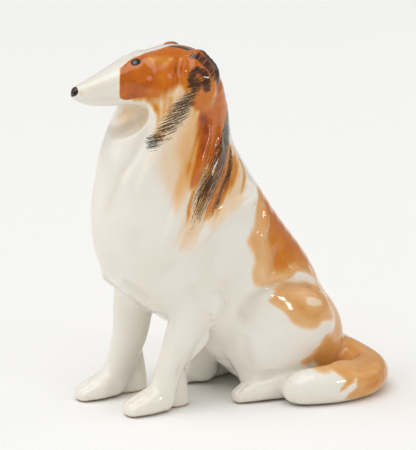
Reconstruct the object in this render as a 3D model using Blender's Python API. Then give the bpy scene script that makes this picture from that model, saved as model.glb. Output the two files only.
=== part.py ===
"""Seated rough collie figurine in glazed slip-cast ceramic.

The dog faces -Y and its left side is +X; the feet, rump and tail rest on Z = 0.
All dimensions below are in millimetres. The body is shaped as overlapping
masses (balls, limbs and a stack of horizontal sections), fused into one skin,
and that skin is then cut along the seams where the castings are luted together.
"""
import math
from collections import namedtuple

import bmesh
import bpy
import numpy as np
from mathutils import Matrix, Vector

MM = 0.001
SEAM_GAP = 0.3        # clearance left between two castings
WALL = 4.5            # thickness of the slip-cast walls
SKIN_VOXEL = 2.2      # size of the grid that fuses the masses into one skin
SKIN_SMOOTHING = 5    # passes that soften the joins between masses
SKIN_TRIANGLES = 4800
ZONE_TRIANGLES = 300
CORE_VOXEL = 4.0
CORE_TRIANGLES = 520
REACH = 150.0         # larger than half the figurine, for cutting blocks
RING_POINTS = 24
SMALL_RADIUS = 4.5    # balls smaller than this are drawn with fewer faces
CENTRE_SHIFT = (-9.61, 7.03)   # moves the origin to the middle of the outline

DRAIN_RADIUS = 6.0    # casting and vent hole in the underside
DRAIN_Y = 28.0
NECK_HEIGHT = 168.0   # where the head casting meets the neck, at Y = -62
NECK_SLOPE = 0.15     # the seam climbs from the throat to the nape
NECK_Y = -62.0
LEG_SEAM_HEIGHT = 42.0
LEG_SEAM_BACK = -28.0
LEG_SEAM_INSIDE = 2.0
EYE = (7.6, -64.0, 196.8)
EYE_RADII = (2.2, 2.8, 1.8)
EYE_TURN = (18, 22, 0)
EYE_SINK = (-0.6, 0, -1.0)
NOSE = (0, -97.9, 183.1)
NOSE_RADIUS = 3.8
RIGHT_TUCK = 13.0     # how much further forward the right hind foot is
LEFT_HEEL = (-4.5, 8.0)    # the fringe behind the left pastern: sideways shift, half depth
RIGHT_HEEL = (-2.5, 9.8)
SKIN_EASE = 0.45      # growth of every mass, to make up for the smoothing
TRUNK_TRIANGLES = 5000

Ball = namedtuple("Ball", "centre radii turn")
Limb = namedtuple("Limb", "rows side power", defaults=(2.0,))
Stack = namedtuple("Stack", "rows")

# Rows of a limb: x, y, z of its centre line, half width along its side, half depth.
SPINE = Limb([(0, -33, 132, 25, 28), (0, -18, 106, 30, 34), (0, 0, 76, 31.5, 38.5),
              (0, 17.5, 48, 31, 39.5), (0, 35.5, 20, 29, 30.5)], "X")
RUMP = Ball((0, 38, 27), (30, 33, 32), (0, 0, 0))
NECK = Limb([(0, -38.5, 160, 24, 32.5), (0, -36, 174, 23.5, 27.5), (0, -34.5, 183.5, 20.5, 19)],
            "X", 2.3)
BRISKET = Limb([(0, -63, 91.5, 22, 16), (0, -50, 78, 23, 18), (0, -34, 63, 24, 18),
                (0, -14, 52, 26, 17)], "X")
# Rows of the mane: height, front, back, half width.
MANE = Stack([(64, -62, -20, 20), (72, -73, 0, 27), (80, -79.5, 18, 31), (95, -84, 22, 33),
              (112, -85, 17, 32.5), (130, -83, 7, 30.5), (147, -79.5, -2, 27),
              (160, -74, -6, 23.5), (168, -68, -8, 21.5)])
THROAT = Ball((6, -79, 171), (20, 22, 14.5), (0, 0, 0))
SKULL = Ball((0, -43, 185.6), (19.5, 21.5, 18), (0, 0, 0))
MUZZLE = Limb([(0, -96, 181.8, 3.2, 3.6), (0, -89, 181.4, 6, 6.4), (0, -79, 182.6, 8.3, 9),
               (0, -67, 185, 11.5, 11.4), (0, -55, 186.2, 15, 14.2)], "X", 2.6)
BODY_HOLLOW = Limb([(0, -35, 186, 14, 17), (0, -33, 165, 17, 19), (0, -36, 140, 22, 28),
                    (0, -22, 110, 25, 31), (0, -5, 84, 22, 31), (0, 10, 58, 14, 30),
                    (0, 25, 34, 11, 25), (0, 31, 12, 10, 19)], "X")
CHEST_HOLLOW = Ball((0, -44, 112), (26, 33, 38), (0, 0, 0))
TAIL = Limb([(0, 54, 22, 12, 13), (12, 68, 14, 10.8, 13), (30, 71.5, 10, 10.2, 13.5),
             (44, 60, 9.6, 10.6, 13), (47.5, 41, 10, 11, 12), (45, 23, 10, 10, 10),
             (43, 17, 9, 7.5, 7.5)], "Z")
LEFT_LEG = [(19, -28, 78, 12, 16), (18.5, -35, 58, 10.5, 12.5), (17, -42, 40, 8.6, 9.8),
            (15.5, -47.5, 26, 7.3, 7.9), (14.5, -51.5, 14, 7.5, 7.9)]
RIGHT_LEG = [(-19, -46, 76, 12, 15), (-20, -51, 58, 10.5, 12.5), (-21.5, -53, 38, 8.7, 10.8),
             (-23, -57.5, 22, 7.3, 9.2), (-24, -62, 12, 7.8, 8.2)]
LEFT_FEATHER = Limb([(24, -25, 68, 4, 6), (24, -25.5, 58, 3.8, 8), (21, -31, 47, 3.6, 6),
                     (18, -37, 34, 3.4, 5.5), (14.5, -41, 26, 3.4, 4.2)], "X")
RIGHT_FEATHER = Limb([(-22, -40, 66, 4.2, 7), (-23, -43, 54, 3.8, 8), (-21.5, -47, 42, 3.6, 6),
                      (-20, -50, 31, 3.4, 4)], "X")


def paired(side):
    """Masses of one flank and cheek; side is 1 on the left and -1 on the right."""
    tuck = 0 if side > 0 else RIGHT_TUCK
    cheek = Ball((9 * side, -49, 183), (11, 14, 11), (0, 0, 0))
    ear = Limb([(15 * side, -30, 198, 5.8, 4.6), (20.5 * side, -30, 191, 10, 5.2),
                (22.5 * side, -32, 182, 9.5, 4.8), (22.5 * side, -36, 173, 7, 3.6)], "Y")
    haunch = Ball((20 * side, 22, 38), (18.5, 33, 30), (0, 0, 0))
    shin = Limb([(15 * side, -2 - tuck / 2, 34, 8, 12), (16 * side, 4 - tuck, 20, 8, 10),
                 (19 * side, 6 - tuck, 9, 8, 9)], "X")
    foot = Limb([(31 * side, 28, 8, 7.5, 8), (27.5 * side, 12, 9, 8, 9),
                 (25 * side, -1 - tuck / 3, 6.6, 7.4, 6.6),
                 (23.5 * side, -8 - 2 * tuck / 3, 4.8, 6.2, 4.8)], "X")
    tuft = Ball((27 * side, -26 - tuck, 61.5), (4.8, 5.8, 9), (0, 0, 0))
    return [cheek, ear, haunch, shin, foot, tuft]


def foreleg(rows, heel_shift, heel_depth):
    """A foreleg with its paw and the fringe of hair behind the pastern."""
    x, y = rows[-1][0], rows[-1][1]
    back = y + heel_depth + 2
    paw = Limb([(x, y - 2, 8, 8, 8.5), (x, y - 11, 6.2, 9, 7), (x, y - 20.5, 4.8, 7.4, 5)], "X")
    heel = Limb([(x + heel_shift, back, 30, 3.6, heel_depth - 3),
                 (x + heel_shift, back, 18, 4.6, heel_depth - 1.4),
                 (x + heel_shift, back, 6, 5.2, heel_depth),
                 (x + heel_shift, back, -4, 5.2, heel_depth)], "X")
    return [Limb(rows, "X"), paw, heel]


def smooth_rows(rows, steps):
    """Rows read from a Catmull-Rom curve through the given rows."""
    rows = np.asarray(rows, float)
    padded = np.vstack([2 * rows[0] - rows[1], rows, 2 * rows[-1] - rows[-2]])
    t = np.linspace(0, 1, steps, endpoint=False)[:, None]
    out = []
    for a, b, c, d in zip(padded, padded[1:], padded[2:], padded[3:]):
        out.append(0.5 * (2 * b + (c - a) * t + (2 * a - 5 * b + 4 * c - d) * t ** 2
                          + (3 * b - a - 3 * c + d) * t ** 3))
    return np.vstack(out + [rows[-1:]])


def skin_rings(bm, rings):
    """Close a row of vertex rings into a tube with flat ends."""
    loops = [[bm.verts.new(point) for point in ring] for ring in rings]
    for low, high in zip(loops, loops[1:]):
        for i in range(len(low)):
            j = (i + 1) % len(low)
            bm.faces.new((low[i], low[j], high[j], high[i]))
    bm.faces.new(loops[0][::-1])
    bm.faces.new(loops[-1])


def squared(value, power):
    """A sine or cosine bent so that its ellipse turns squarer as the power rises."""
    return math.copysign(abs(value) ** (2 / power), value)


def limb_rings(limb, grow):
    """Elliptical rings square to the limb's centre line, with rounded ends."""
    rows = smooth_rows(limb.rows, 4)
    points, halves = rows[:, :3], rows[:, 3:] + grow
    tangents = np.gradient(points, axis=0)
    tangents /= np.linalg.norm(tangents, axis=1)[:, None]
    side = np.eye(3)["XYZ".index(limb.side)]
    angles = np.linspace(0, 2 * math.pi, RING_POINTS, endpoint=False)
    caps = np.radians([78, 52, 26])
    stations = [(0, -a) for a in caps]
    stations += [(i, 0.0) for i in range(len(points))]
    stations += [(len(points) - 1, a) for a in caps[::-1]]
    rings = []
    for index, lean in stations:
        tangent = tangents[index]
        across = side - tangent * (tangent @ side)
        across /= np.linalg.norm(across)
        upward = np.cross(tangent, across)
        centre = points[index] + tangent * math.sin(lean) * halves[index].min()
        wide, deep = halves[index] * math.cos(lean)
        rings.append([Vector(centre + across * wide * squared(math.cos(t), limb.power)
                             + upward * deep * squared(math.sin(t), limb.power)) * MM
                      for t in angles])
    return rings


def stack_rings(stack, grow):
    """Horizontal oval rings, one above the other."""
    angles = np.linspace(0, 2 * math.pi, 2 * RING_POINTS, endpoint=False)
    rings = []
    for z, front, back, half in smooth_rows(stack.rows, 4):
        middle, depth = (front + back) / 2, (back - front) / 2 + grow
        rings.append([Vector(((half + grow) * math.cos(t), middle + depth * math.sin(t), z)) * MM
                      for t in angles])
    return rings


def add_mass(bm, mass, grow=0.0):
    """Add one mass, grown by a distance on every side."""
    if isinstance(mass, Ball):
        spin = Matrix.Identity(4)
        for axis, angle in zip("XYZ", mass.turn):
            spin = Matrix.Rotation(math.radians(angle), 4, axis) @ spin
        stretch = Matrix.Diagonal([(r + grow) * MM for r in mass.radii] + [1])
        place = Matrix.Translation(Vector(mass.centre) * MM) @ spin @ stretch
        detail = 3 if min(mass.radii) > SMALL_RADIUS else 2
        bmesh.ops.create_icosphere(bm, subdivisions=detail, radius=1, matrix=place)
    elif isinstance(mass, Limb):
        skin_rings(bm, limb_rings(mass, grow))
    else:
        skin_rings(bm, stack_rings(mass, grow))


def make_object(name, bm):
    """Put a bmesh in the scene as an object."""
    bmesh.ops.recalc_face_normals(bm, faces=bm.faces)
    mesh = bpy.data.meshes.new(name)
    bm.to_mesh(mesh)
    bm.free()
    obj = bpy.data.objects.new(name, mesh)
    bpy.context.scene.collection.objects.link(obj)
    return obj


def mass_object(name, masses, grow=0.0):
    """An object holding the given masses, still as separate closed shells."""
    bm = bmesh.new()
    for mass in masses:
        add_mass(bm, mass, grow)
    return make_object(name, bm)


def block_object(name, low, high):
    """A rectangular block between two corners."""
    bm = bmesh.new()
    size = [b - a for a, b in zip(low, high)]
    middle = [(a + b) / 2 for a, b in zip(low, high)]
    place = Matrix.Translation(Vector(middle) * MM) @ Matrix.Diagonal([s * MM for s in size] + [1])
    bmesh.ops.create_cube(bm, size=1, matrix=place)
    return make_object(name, bm)


def apply_modifiers(obj):
    """Replace an object's mesh by its evaluated shape."""
    graph = bpy.context.evaluated_depsgraph_get()
    mesh = bpy.data.meshes.new_from_object(obj.evaluated_get(graph))
    obj.modifiers.clear()
    obj.data = mesh
    return obj


def tidy_mesh(obj):
    """Triangulate, drop slivers and keep the faces pointing out."""
    bm = bmesh.new()
    bm.from_mesh(obj.data)
    bmesh.ops.dissolve_degenerate(bm, dist=0.02 * MM, edges=bm.edges)
    bmesh.ops.triangulate(bm, faces=bm.faces)
    bmesh.ops.recalc_face_normals(bm, faces=bm.faces)
    bm.to_mesh(obj.data)
    bm.free()
    return obj


def fuse(obj, voxel, smoothing, triangles):
    """Melt overlapping shells into one soft skin with about so many triangles."""
    remesh = obj.modifiers.new("fuse", "REMESH")
    remesh.mode = "VOXEL"
    remesh.voxel_size = voxel * MM
    soften = obj.modifiers.new("soften", "SMOOTH")
    soften.factor = 0.5
    soften.iterations = smoothing
    apply_modifiers(obj)
    count = sum(len(face.vertices) - 2 for face in obj.data.polygons)
    thin = obj.modifiers.new("thin", "DECIMATE")
    thin.ratio = min(1.0, triangles / count)
    return tidy_mesh(apply_modifiers(obj))


def cut(obj, cutter, operation):
    """Apply one Boolean between an object and a cutter."""
    boolean = obj.modifiers.new(operation.lower(), "BOOLEAN")
    boolean.operation = operation
    boolean.solver = "EXACT"
    boolean.object = cutter
    return apply_modifiers(obj)


def duplicate(obj, name):
    """A copy of an object with its own mesh."""
    copy = bpy.data.objects.new(name, obj.data.copy())
    bpy.context.scene.collection.objects.link(copy)
    return copy


def discard(*objects):
    """Remove guide objects that have done their work."""
    for obj in objects:
        bpy.data.objects.remove(obj)


def zone_pair(zone):
    """The cutting solid of one casting, and the same solid grown by the seam gap."""
    if callable(zone):
        return zone("zone_inner", 0.0), zone("zone_outer", SEAM_GAP)
    inner = mass_object("zone_inner", zone)
    if any(isinstance(mass, Limb) for mass in zone):
        fuse(inner, SKIN_VOXEL, 1, ZONE_TRIANGLES)
    outer = duplicate(inner, "zone_outer")
    swell = outer.modifiers.new("swell", "DISPLACE")
    swell.mid_level = 0.0
    swell.strength = SEAM_GAP * MM
    return inner, apply_modifiers(outer)


def keep_largest(obj):
    """Delete the loose slivers that a cut can leave beside a casting."""
    bm = bmesh.new()
    bm.from_mesh(obj.data)
    groups, seen = [], set()
    for seed in bm.verts:
        if seed in seen:
            continue
        group, queue = [], [seed]
        seen.add(seed)
        while queue:
            vert = queue.pop()
            group.append(vert)
            for edge in vert.link_edges:
                other = edge.other_vert(vert)
                if other not in seen:
                    seen.add(other)
                    queue.append(other)
        groups.append(group)
    groups.sort(key=len)
    for group in groups[:-1]:
        bmesh.ops.delete(bm, geom=group, context="VERTS")
    bm.to_mesh(obj.data)
    bm.free()
    return obj


def split_off(rest, name, zone):
    """Cut the casting inside a zone away from the rest, leaving the seam gap."""
    piece = duplicate(rest, name)
    inner, outer = zone_pair(zone)
    keep_largest(cut(piece, inner, "INTERSECT"))
    keep_largest(cut(rest, outer, "DIFFERENCE"))
    discard(inner, outer)
    return piece


def leg_zone(side):
    """A block around one foreleg, below the chest and ahead of the belly."""
    def build(name, grow):
        xs = sorted((side * (LEG_SEAM_INSIDE - grow), side * REACH))
        return block_object(name, (xs[0], -REACH, -REACH),
                            (xs[1], LEG_SEAM_BACK + grow, LEG_SEAM_HEIGHT + grow))
    return build


def head_zone(name, grow):
    """Everything above the sloping neck seam."""
    obj = block_object(name, (-REACH, -REACH, -grow), (REACH, REACH, REACH))
    slope = Matrix.Rotation(math.atan(NECK_SLOPE), 4, "X")
    place = Matrix.Translation(Vector((0, NECK_Y, NECK_HEIGHT)) * MM)
    obj.data.transform(place @ slope)
    return obj


def haunch_zone(side):
    """The thigh, hock and hind foot of one side."""
    toe = -3 if side > 0 else -3 - RIGHT_TUCK
    return [Ball((38.5 * side, 22, 31), (20, 41, 42), (0, 0, 0)),
            Limb([(30 * side, 30, 9, 14, 13), (29 * side, 6, 8, 13, 12),
                  (28 * side, toe, 6, 13, 11)], "X")]


def ear_zone(side):
    """The folded ear of one side."""
    return [Ball((24 * side, -31, 189), (9, 13, 16), (0, 0, 0))]


TAIL_ZONE = [Limb([(14, 70, 14, 18, 17), (30, 71.5, 10, 16, 17), (44, 60, 9, 16, 16.5),
                   (48.5, 40, 9, 14.5, 14.5), (47, 22, 9, 13, 12.5),
                   (45, 15, 9, 11, 10.5)], "Z")]


def eye_drop(side):
    """The enamel drop of one eye; the right one sits a little deeper."""
    sink = (0, 0, 0) if side > 0 else EYE_SINK
    x, y, z = (a + b for a, b in zip(EYE, sink))
    return Ball((x * side, y, z), EYE_RADII, tuple(a * s for a, s in zip(EYE_TURN, (1, side, side))))


def round_block(name, centre, radius, low, high):
    """A vertical round bar between two heights."""
    bm = bmesh.new()
    place = Matrix.Translation(Vector((centre[0], centre[1], (low + high) / 2)) * MM)
    bmesh.ops.create_cone(bm, cap_ends=True, segments=24, radius1=radius * MM,
                          radius2=radius * MM, depth=(high - low) * MM, matrix=place)
    return make_object(name, bm)


def body_core():
    """The hollow inside the body casting, open at the neck and at the drain hole."""
    core = mass_object("core_body", [BODY_HOLLOW, CHEST_HOLLOW])
    fuse(core, CORE_VOXEL, 3, CORE_TRIANGLES)
    floor = block_object("core_floor", (-REACH, -REACH, -REACH), (REACH, REACH, WALL))
    cut(core, floor, "DIFFERENCE")
    drain = round_block("core_drain", (0, DRAIN_Y), DRAIN_RADIUS, -WALL, 3 * WALL)
    cut(core, drain, "UNION")
    discard(floor, drain)
    return core


def head_core():
    """The hollow inside the head casting, open at the neck."""
    core = mass_object("core_head", [SKULL, NECK], -WALL - 1.5)
    return fuse(core, CORE_VOXEL, 2, CORE_TRIANGLES // 2)


def finish(name, surface):
    """Paint specification of one casting."""
    colour, roughness = surface
    material = bpy.data.materials.new(name)
    material.use_nodes = True
    shader = material.node_tree.nodes["Principled BSDF"]
    shader.inputs["Base Color"].default_value = (*colour, 1)
    shader.inputs["Roughness"].default_value = roughness
    shader.inputs["Metallic"].default_value = 0.0
    return material


IVORY = ((0.86, 0.83, 0.78), 0.12)
TAN = ((0.55, 0.23, 0.06), 0.12)
BLACK = ((0.02, 0.018, 0.02), 0.1)

FINISHES = {"torso_shell": IVORY, "head_shell": TAN, "left_ear": TAN, "right_ear": TAN,
            "left_foreleg": IVORY, "right_foreleg": IVORY, "left_hind_leg": IVORY,
            "right_hind_leg": IVORY, "tail": TAN, "nose_cap": BLACK, "left_eye": BLACK,
            "right_eye": BLACK}


def whole_dog():
    """The complete outer skin, cut flat where it rests."""
    trunk = mass_object("trunk", [SPINE, RUMP, NECK, BRISKET, MANE], SKIN_EASE)
    fuse(trunk, SKIN_VOXEL, 1, TRUNK_TRIANGLES)
    throat = mass_object("throat", [THROAT], -SKIN_EASE)
    cut(trunk, throat, "DIFFERENCE")
    masses = [SKULL, MUZZLE, TAIL, LEFT_FEATHER, RIGHT_FEATHER]
    masses += paired(1) + paired(-1) + foreleg(LEFT_LEG, *LEFT_HEEL) + foreleg(RIGHT_LEG, *RIGHT_HEEL)
    bm = bmesh.new()
    bm.from_mesh(trunk.data)
    for mass in masses:
        add_mass(bm, mass, SKIN_EASE)
    dog = make_object("whole", bm)
    fuse(dog, SKIN_VOXEL, SKIN_SMOOTHING, SKIN_TRIANGLES)
    ground = block_object("ground", (-REACH, -REACH, -REACH), (REACH, REACH, 0))
    cut(dog, ground, "DIFFERENCE")
    discard(ground, throat, trunk)
    return dog


def build():
    """Shape the dog, part it into castings and hollow the two shells."""
    for obj in list(bpy.data.objects):
        bpy.data.objects.remove(obj)
    rest = whole_dog()
    pieces = {"tail": split_off(rest, "tail", TAIL_ZONE)}
    for side, word in ((1, "left"), (-1, "right")):
        eye = eye_drop(side)
        pieces[word + "_hind_leg"] = split_off(rest, word + "_hind_leg", haunch_zone(side))
        pieces[word + "_foreleg"] = split_off(rest, word + "_foreleg", leg_zone(side))
        pieces[word + "_ear"] = split_off(rest, word + "_ear", ear_zone(side))
        pieces[word + "_eye"] = mass_object(word + "_eye", [eye])
        socket = mass_object("socket", [eye], SEAM_GAP)
        cut(rest, socket, "DIFFERENCE")
        discard(socket)
    pieces["nose_cap"] = split_off(rest, "nose_cap", [Ball(NOSE, (NOSE_RADIUS,) * 3, (0, 0, 0))])
    pieces["head_shell"] = split_off(rest, "head_shell", head_zone)
    rest.name = "torso_shell"
    pieces["torso_shell"] = rest
    for name, core in (("torso_shell", body_core()), ("head_shell", head_core())):
        cut(pieces[name], core, "DIFFERENCE")
        discard(core)
    shift = Matrix.Translation(Vector((*CENTRE_SHIFT, 0)) * MM)
    for name, obj in pieces.items():
        tidy_mesh(obj)
        obj.data.transform(shift)
        obj.data.materials.clear()
        obj.data.materials.append(finish(name, FINISHES[name]))
        obj.data.shade_smooth()
        obj.data.set_sharp_from_angle(angle=math.radians(35))


build()
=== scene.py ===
"""Seated rough collie figurine: modelled skin, painted glaze, lights and camera.

The dog faces -Y and its left side is +X. Lengths in this file are millimetres measured
from the dog's own mid-plane, and are turned into metres when meshes are made.
"""
from __future__ import annotations

import logging
import math
from dataclasses import dataclass, field
from enum import Enum
from functools import cached_property
from typing import Callable, Iterable, Sequence

import bpy
import numpy as np
from mathutils import Matrix, Vector

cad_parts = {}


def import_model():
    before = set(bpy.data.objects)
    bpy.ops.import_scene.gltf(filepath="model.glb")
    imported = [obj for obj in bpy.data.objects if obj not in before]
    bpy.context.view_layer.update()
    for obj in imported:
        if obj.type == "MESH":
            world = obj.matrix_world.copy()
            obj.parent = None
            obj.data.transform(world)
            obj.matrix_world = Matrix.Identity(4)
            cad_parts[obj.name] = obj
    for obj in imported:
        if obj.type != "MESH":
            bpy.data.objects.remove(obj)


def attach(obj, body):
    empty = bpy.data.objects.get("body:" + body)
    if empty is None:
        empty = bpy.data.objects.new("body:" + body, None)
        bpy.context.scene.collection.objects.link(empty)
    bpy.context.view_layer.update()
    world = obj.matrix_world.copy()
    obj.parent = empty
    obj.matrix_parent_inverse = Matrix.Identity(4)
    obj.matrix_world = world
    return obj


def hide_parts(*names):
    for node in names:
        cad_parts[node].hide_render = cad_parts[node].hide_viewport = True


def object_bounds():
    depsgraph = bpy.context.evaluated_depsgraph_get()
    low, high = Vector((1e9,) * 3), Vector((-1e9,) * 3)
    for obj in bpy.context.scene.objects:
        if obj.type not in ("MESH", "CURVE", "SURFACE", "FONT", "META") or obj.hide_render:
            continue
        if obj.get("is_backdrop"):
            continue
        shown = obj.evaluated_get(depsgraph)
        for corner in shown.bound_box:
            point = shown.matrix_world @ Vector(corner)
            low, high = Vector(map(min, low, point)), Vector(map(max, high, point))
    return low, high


log = logging.getLogger("collie")

Array = np.ndarray
MM = 0.001
CENTRE_SHIFT = np.array([-9.61, 7.03, 0.0])     # from the dog's mid-plane to the outline's middle
FAR = 60.0              # distance given to empty space
FOLD_DEPTH = 2.0        # how boldly every fold is modelled


# ---------------------------------------------------------------- clay ----

def spline(rows: Sequence[Sequence[float]], steps: int) -> Array:
    """Rows read from a Catmull-Rom curve through the given rows.

    Args:
        rows: The control rows, each a tuple of numbers.
        steps: How many rows to make for each span.

    Returns:
        An array with the same number of columns as the control rows.
    """
    rows = np.asarray(rows, float)
    padded = np.vstack([2 * rows[0] - rows[1], rows, 2 * rows[-1] - rows[-2]])
    t = np.linspace(0, 1, steps, endpoint=False)[:, None]
    spans = [0.5 * (2 * b + (c - a) * t + (2 * a - 5 * b + 4 * c - d) * t**2
                    + (3 * b - a - 3 * c + d) * t**3)
             for a, b, c, d in zip(padded, padded[1:], padded[2:], padded[3:])]
    return np.vstack([*spans, rows[-1:]])


def unit(vectors: Array) -> Array:
    """Vectors scaled to length one."""
    return vectors / np.maximum(np.linalg.norm(vectors, axis=-1, keepdims=True), 1e-9)


def smooth_min(a: Array, b: Array, blend: float) -> Array:
    """The smaller of two distances, rounded over a blend length.

    Args:
        a: Distances to one surface.
        b: Distances to the other.
        blend: How far the join reaches; 0 leaves it sharp.

    Returns:
        The joined distances.
    """
    if blend <= 0:
        return np.minimum(a, b)
    near = np.maximum(blend - np.abs(a - b), 0) / blend
    return np.minimum(a, b) - near**3 * blend / 6


def ramp(values: Array, low: float, high: float) -> Array:
    """Smooth step from 0 at low to 1 at high."""
    t = np.clip((values - low) / (high - low), 0, 1)
    return t * t * (3 - 2 * t)


@dataclass(frozen=True)
class Ball:
    """An ellipsoid of clay, leaned by angles about X, Y and Z."""

    centre: tuple[float, float, float]
    radii: tuple[float, float, float]
    turn: tuple[float, float, float] = (0.0, 0.0, 0.0)

    @cached_property
    def axes(self) -> Array:
        """The ellipsoid's own axes.

        Returns:
            A 3 by 3 array with one axis in each column.
        """
        spin = Matrix.Identity(3)
        for axis, angle in zip("XYZ", self.turn):
            spin = Matrix.Rotation(math.radians(angle), 3, axis) @ spin
        return np.array(spin)

    @cached_property
    def box(self) -> tuple[Array, Array]:
        """Lowest and highest corner."""
        reach = np.sqrt(((self.axes * np.array(self.radii)) ** 2).sum(1))
        return np.array(self.centre) - reach, np.array(self.centre) + reach

    def distance(self, points: Array) -> Array:
        """Distance to the surface.

        Args:
            points: Positions, one row for each.

        Returns:
            Distances, negative inside.
        """
        local = (points - np.array(self.centre)) @ self.axes
        radii = np.array(self.radii)
        outer = np.linalg.norm(local / radii, axis=1) + 1e-9
        inner = np.linalg.norm(local / radii**2, axis=1) + 1e-9
        return outer * (outer - 1) / inner


@dataclass(frozen=True)
class Limb:
    """An oval swept along a curve: rows of x, y, z, half width, half depth."""

    rows: Sequence[tuple[float, ...]]
    side: tuple[float, float, float] = (1.0, 0.0, 0.0)
    power: float = 2.0
    steps: int = 4

    @cached_property
    def sampled(self) -> tuple[Array, Array, Array]:
        """The curve at close intervals.

        Returns:
            Centre points, half sizes and side vectors.
        """
        full = spline(self.rows, self.steps)
        points, halves = full[:, :3], np.maximum(full[:, 3:5], 0.3)
        along = unit(np.gradient(points, axis=0))
        side = np.array(self.side)
        return points, halves, unit(side - (along @ side)[:, None] * along)

    @cached_property
    def box(self) -> tuple[Array, Array]:
        """The box round the limb.

        Returns:
            Its lowest and its highest corner.
        """
        points, halves, _ = self.sampled
        reach = halves.max(1)[:, None]
        return (points - reach).min(0), (points + reach).max(0)

    def distance(self, points: Array) -> Array:
        """Distance to the surface.

        Args:
            points: Positions, one row for each.

        Returns:
            Distances, negative inside.
        """
        centres, halves, sides = self.sampled
        best = np.full(len(points), 1e9)
        for i in range(len(centres) - 1):
            step = centres[i + 1] - centres[i]
            length = np.linalg.norm(step)
            along = step / length
            t = np.clip(((points - centres[i]) @ along) / length, 0, 1)[:, None]
            side = sides[i] * (1 - t) + sides[i + 1] * t
            side = unit(side - (side @ along)[:, None] * along)
            offset = points - centres[i] - t * step
            half = halves[i] * (1 - t) + halves[i + 1] * t
            parts = np.stack([(offset * side).sum(1) / half[:, 0],
                              (offset * np.cross(along, side)).sum(1) / half[:, 1],
                              (offset @ along) / half.min(1)])
            scaled = (np.abs(parts) ** self.power).sum(0) ** (1 / self.power) + 1e-9
            radius = np.linalg.norm(offset, axis=1)
            gap = radius - radius / scaled
            best = np.minimum(best, np.where(radius < 1e-6, -half.min(1), gap))
        return best


@dataclass(frozen=True)
class Stack:
    """Horizontal ovals: rows of height, front, back, half width, squareness."""

    rows: Sequence[tuple[float, ...]]

    @cached_property
    def levels(self) -> Array:
        """Finely spaced rows."""
        return spline(self.rows, 6)

    @cached_property
    def box(self) -> tuple[Array, Array]:
        """The box round the stack.

        Returns:
            Its lowest and its highest corner.
        """
        rows = self.levels
        wide = rows[:, 3].max()
        return (np.array([-wide, rows[:, 1].min(), rows[0, 0]]),
                np.array([wide, rows[:, 2].max(), rows[-1, 0]]))

    def distance(self, points: Array) -> Array:
        """Distance to the surface.

        Args:
            points: Positions, one row for each.

        Returns:
            Distances, negative inside.
        """
        rows = self.levels
        height = np.clip(points[:, 2], rows[0, 0], rows[-1, 0])
        front, back, half, power = (np.interp(height, rows[:, 0], rows[:, k]) for k in (1, 2, 3, 4))
        across = points[:, 0]
        deep = points[:, 1] - (front + back) / 2
        depth = (back - front) / 2
        scaled = (np.abs(across / half) ** power + np.abs(deep / depth) ** power) ** (1 / power) + 1e-9
        radius = np.hypot(across, deep)
        gap = np.where(radius < 1e-6, -np.minimum(half, depth), radius - radius / scaled)
        over = np.abs(points[:, 2] - height)
        return np.where(over > 0, np.hypot(np.maximum(gap, 0), over), gap)


Solid = Ball | Limb | Stack


@dataclass
class Clay:
    """Solids pressed together one after another, standing on the floor."""

    lumps: list[tuple[Solid, float, int]] = field(default_factory=list)
    floor_round: float = 2.0

    def add(self, solid: Solid, blend: float) -> None:
        """Press a solid on, with a soft join."""
        self.lumps.append((solid, blend, 1))

    def carve(self, solid: Solid, blend: float) -> None:
        """Scoop a solid out, with a soft rim."""
        self.lumps.append((solid, blend, -1))

    def distance(self, points: Array) -> Array:
        """Distance to the finished surface.

        Args:
            points: Positions, one row for each.

        Returns:
            Distances, negative inside.
        """
        total = np.full(len(points), FAR)
        for solid, blend, sign in self.lumps:
            low, high = solid.box
            margin = blend + 3
            near = ((points > low - margin) & (points < high + margin)).all(1)
            if near.any():
                gap = solid.distance(points[near])
                total[near] = sign * smooth_min(sign * total[near], gap, blend)
        return -smooth_min(-total, points[:, 2], self.floor_round)

    def slope(self, points: Array, reach: float = 0.15) -> Array:
        """Gradient of the distance, from four samples round each point.

        Args:
            points: Positions, one row for each.
            reach: How far out the samples are taken.

        Returns:
            One vector for each point, pointing out of the clay.
        """
        corners = np.array([[1, -1, -1], [-1, -1, 1], [-1, 1, -1], [1, 1, 1]], float)
        total = sum(c * self.distance(points + reach * c)[:, None] for c in corners)
        return total / (4 * reach)


# ---------------------------------------------------------------- mesh ----

QUAD_EDGES = ((0, 1), (1, 2), (2, 3), (3, 0))


def sample_grid(clay: Clay, low: Array, high: Array, step: float) -> Array:
    """Distances on a regular grid, worked out finely only near the surface.

    Args:
        clay: What is measured.
        low: The grid's first corner.
        high: The corner that it has to reach.
        step: The grid's spacing.

    Returns:
        A block of distances, one for each grid point.
    """
    block, reach = 4, 1.9   # grid steps to a coarse one, and coarse steps that count as near
    count = np.ceil((high - low) / (step * block)).astype(int) + 1
    axes = [low[i] + np.arange(count[i]) * step * block for i in range(3)]
    points = np.stack(np.meshgrid(*axes, indexing="ij"), -1).reshape(-1, 3)
    coarse = clay.distance(points).reshape(count)
    near = np.abs(coarse) < step * block * reach
    for axis in range(3):
        ahead, behind = [slice(None)] * 3, [slice(None)] * 3
        ahead[axis], behind[axis] = slice(1, None), slice(0, -1)
        grown = near.copy()
        grown[tuple(behind)] |= near[tuple(ahead)]
        grown[tuple(ahead)] |= near[tuple(behind)]
        near = grown
    fine = coarse
    for axis in range(3):
        fine, near = fine.repeat(block, axis), near.repeat(block, axis)
    cells = np.argwhere(near)
    values = fine.astype(np.float32)
    values[tuple(cells.T)] = clay.distance(low + cells * step)
    return values


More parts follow.
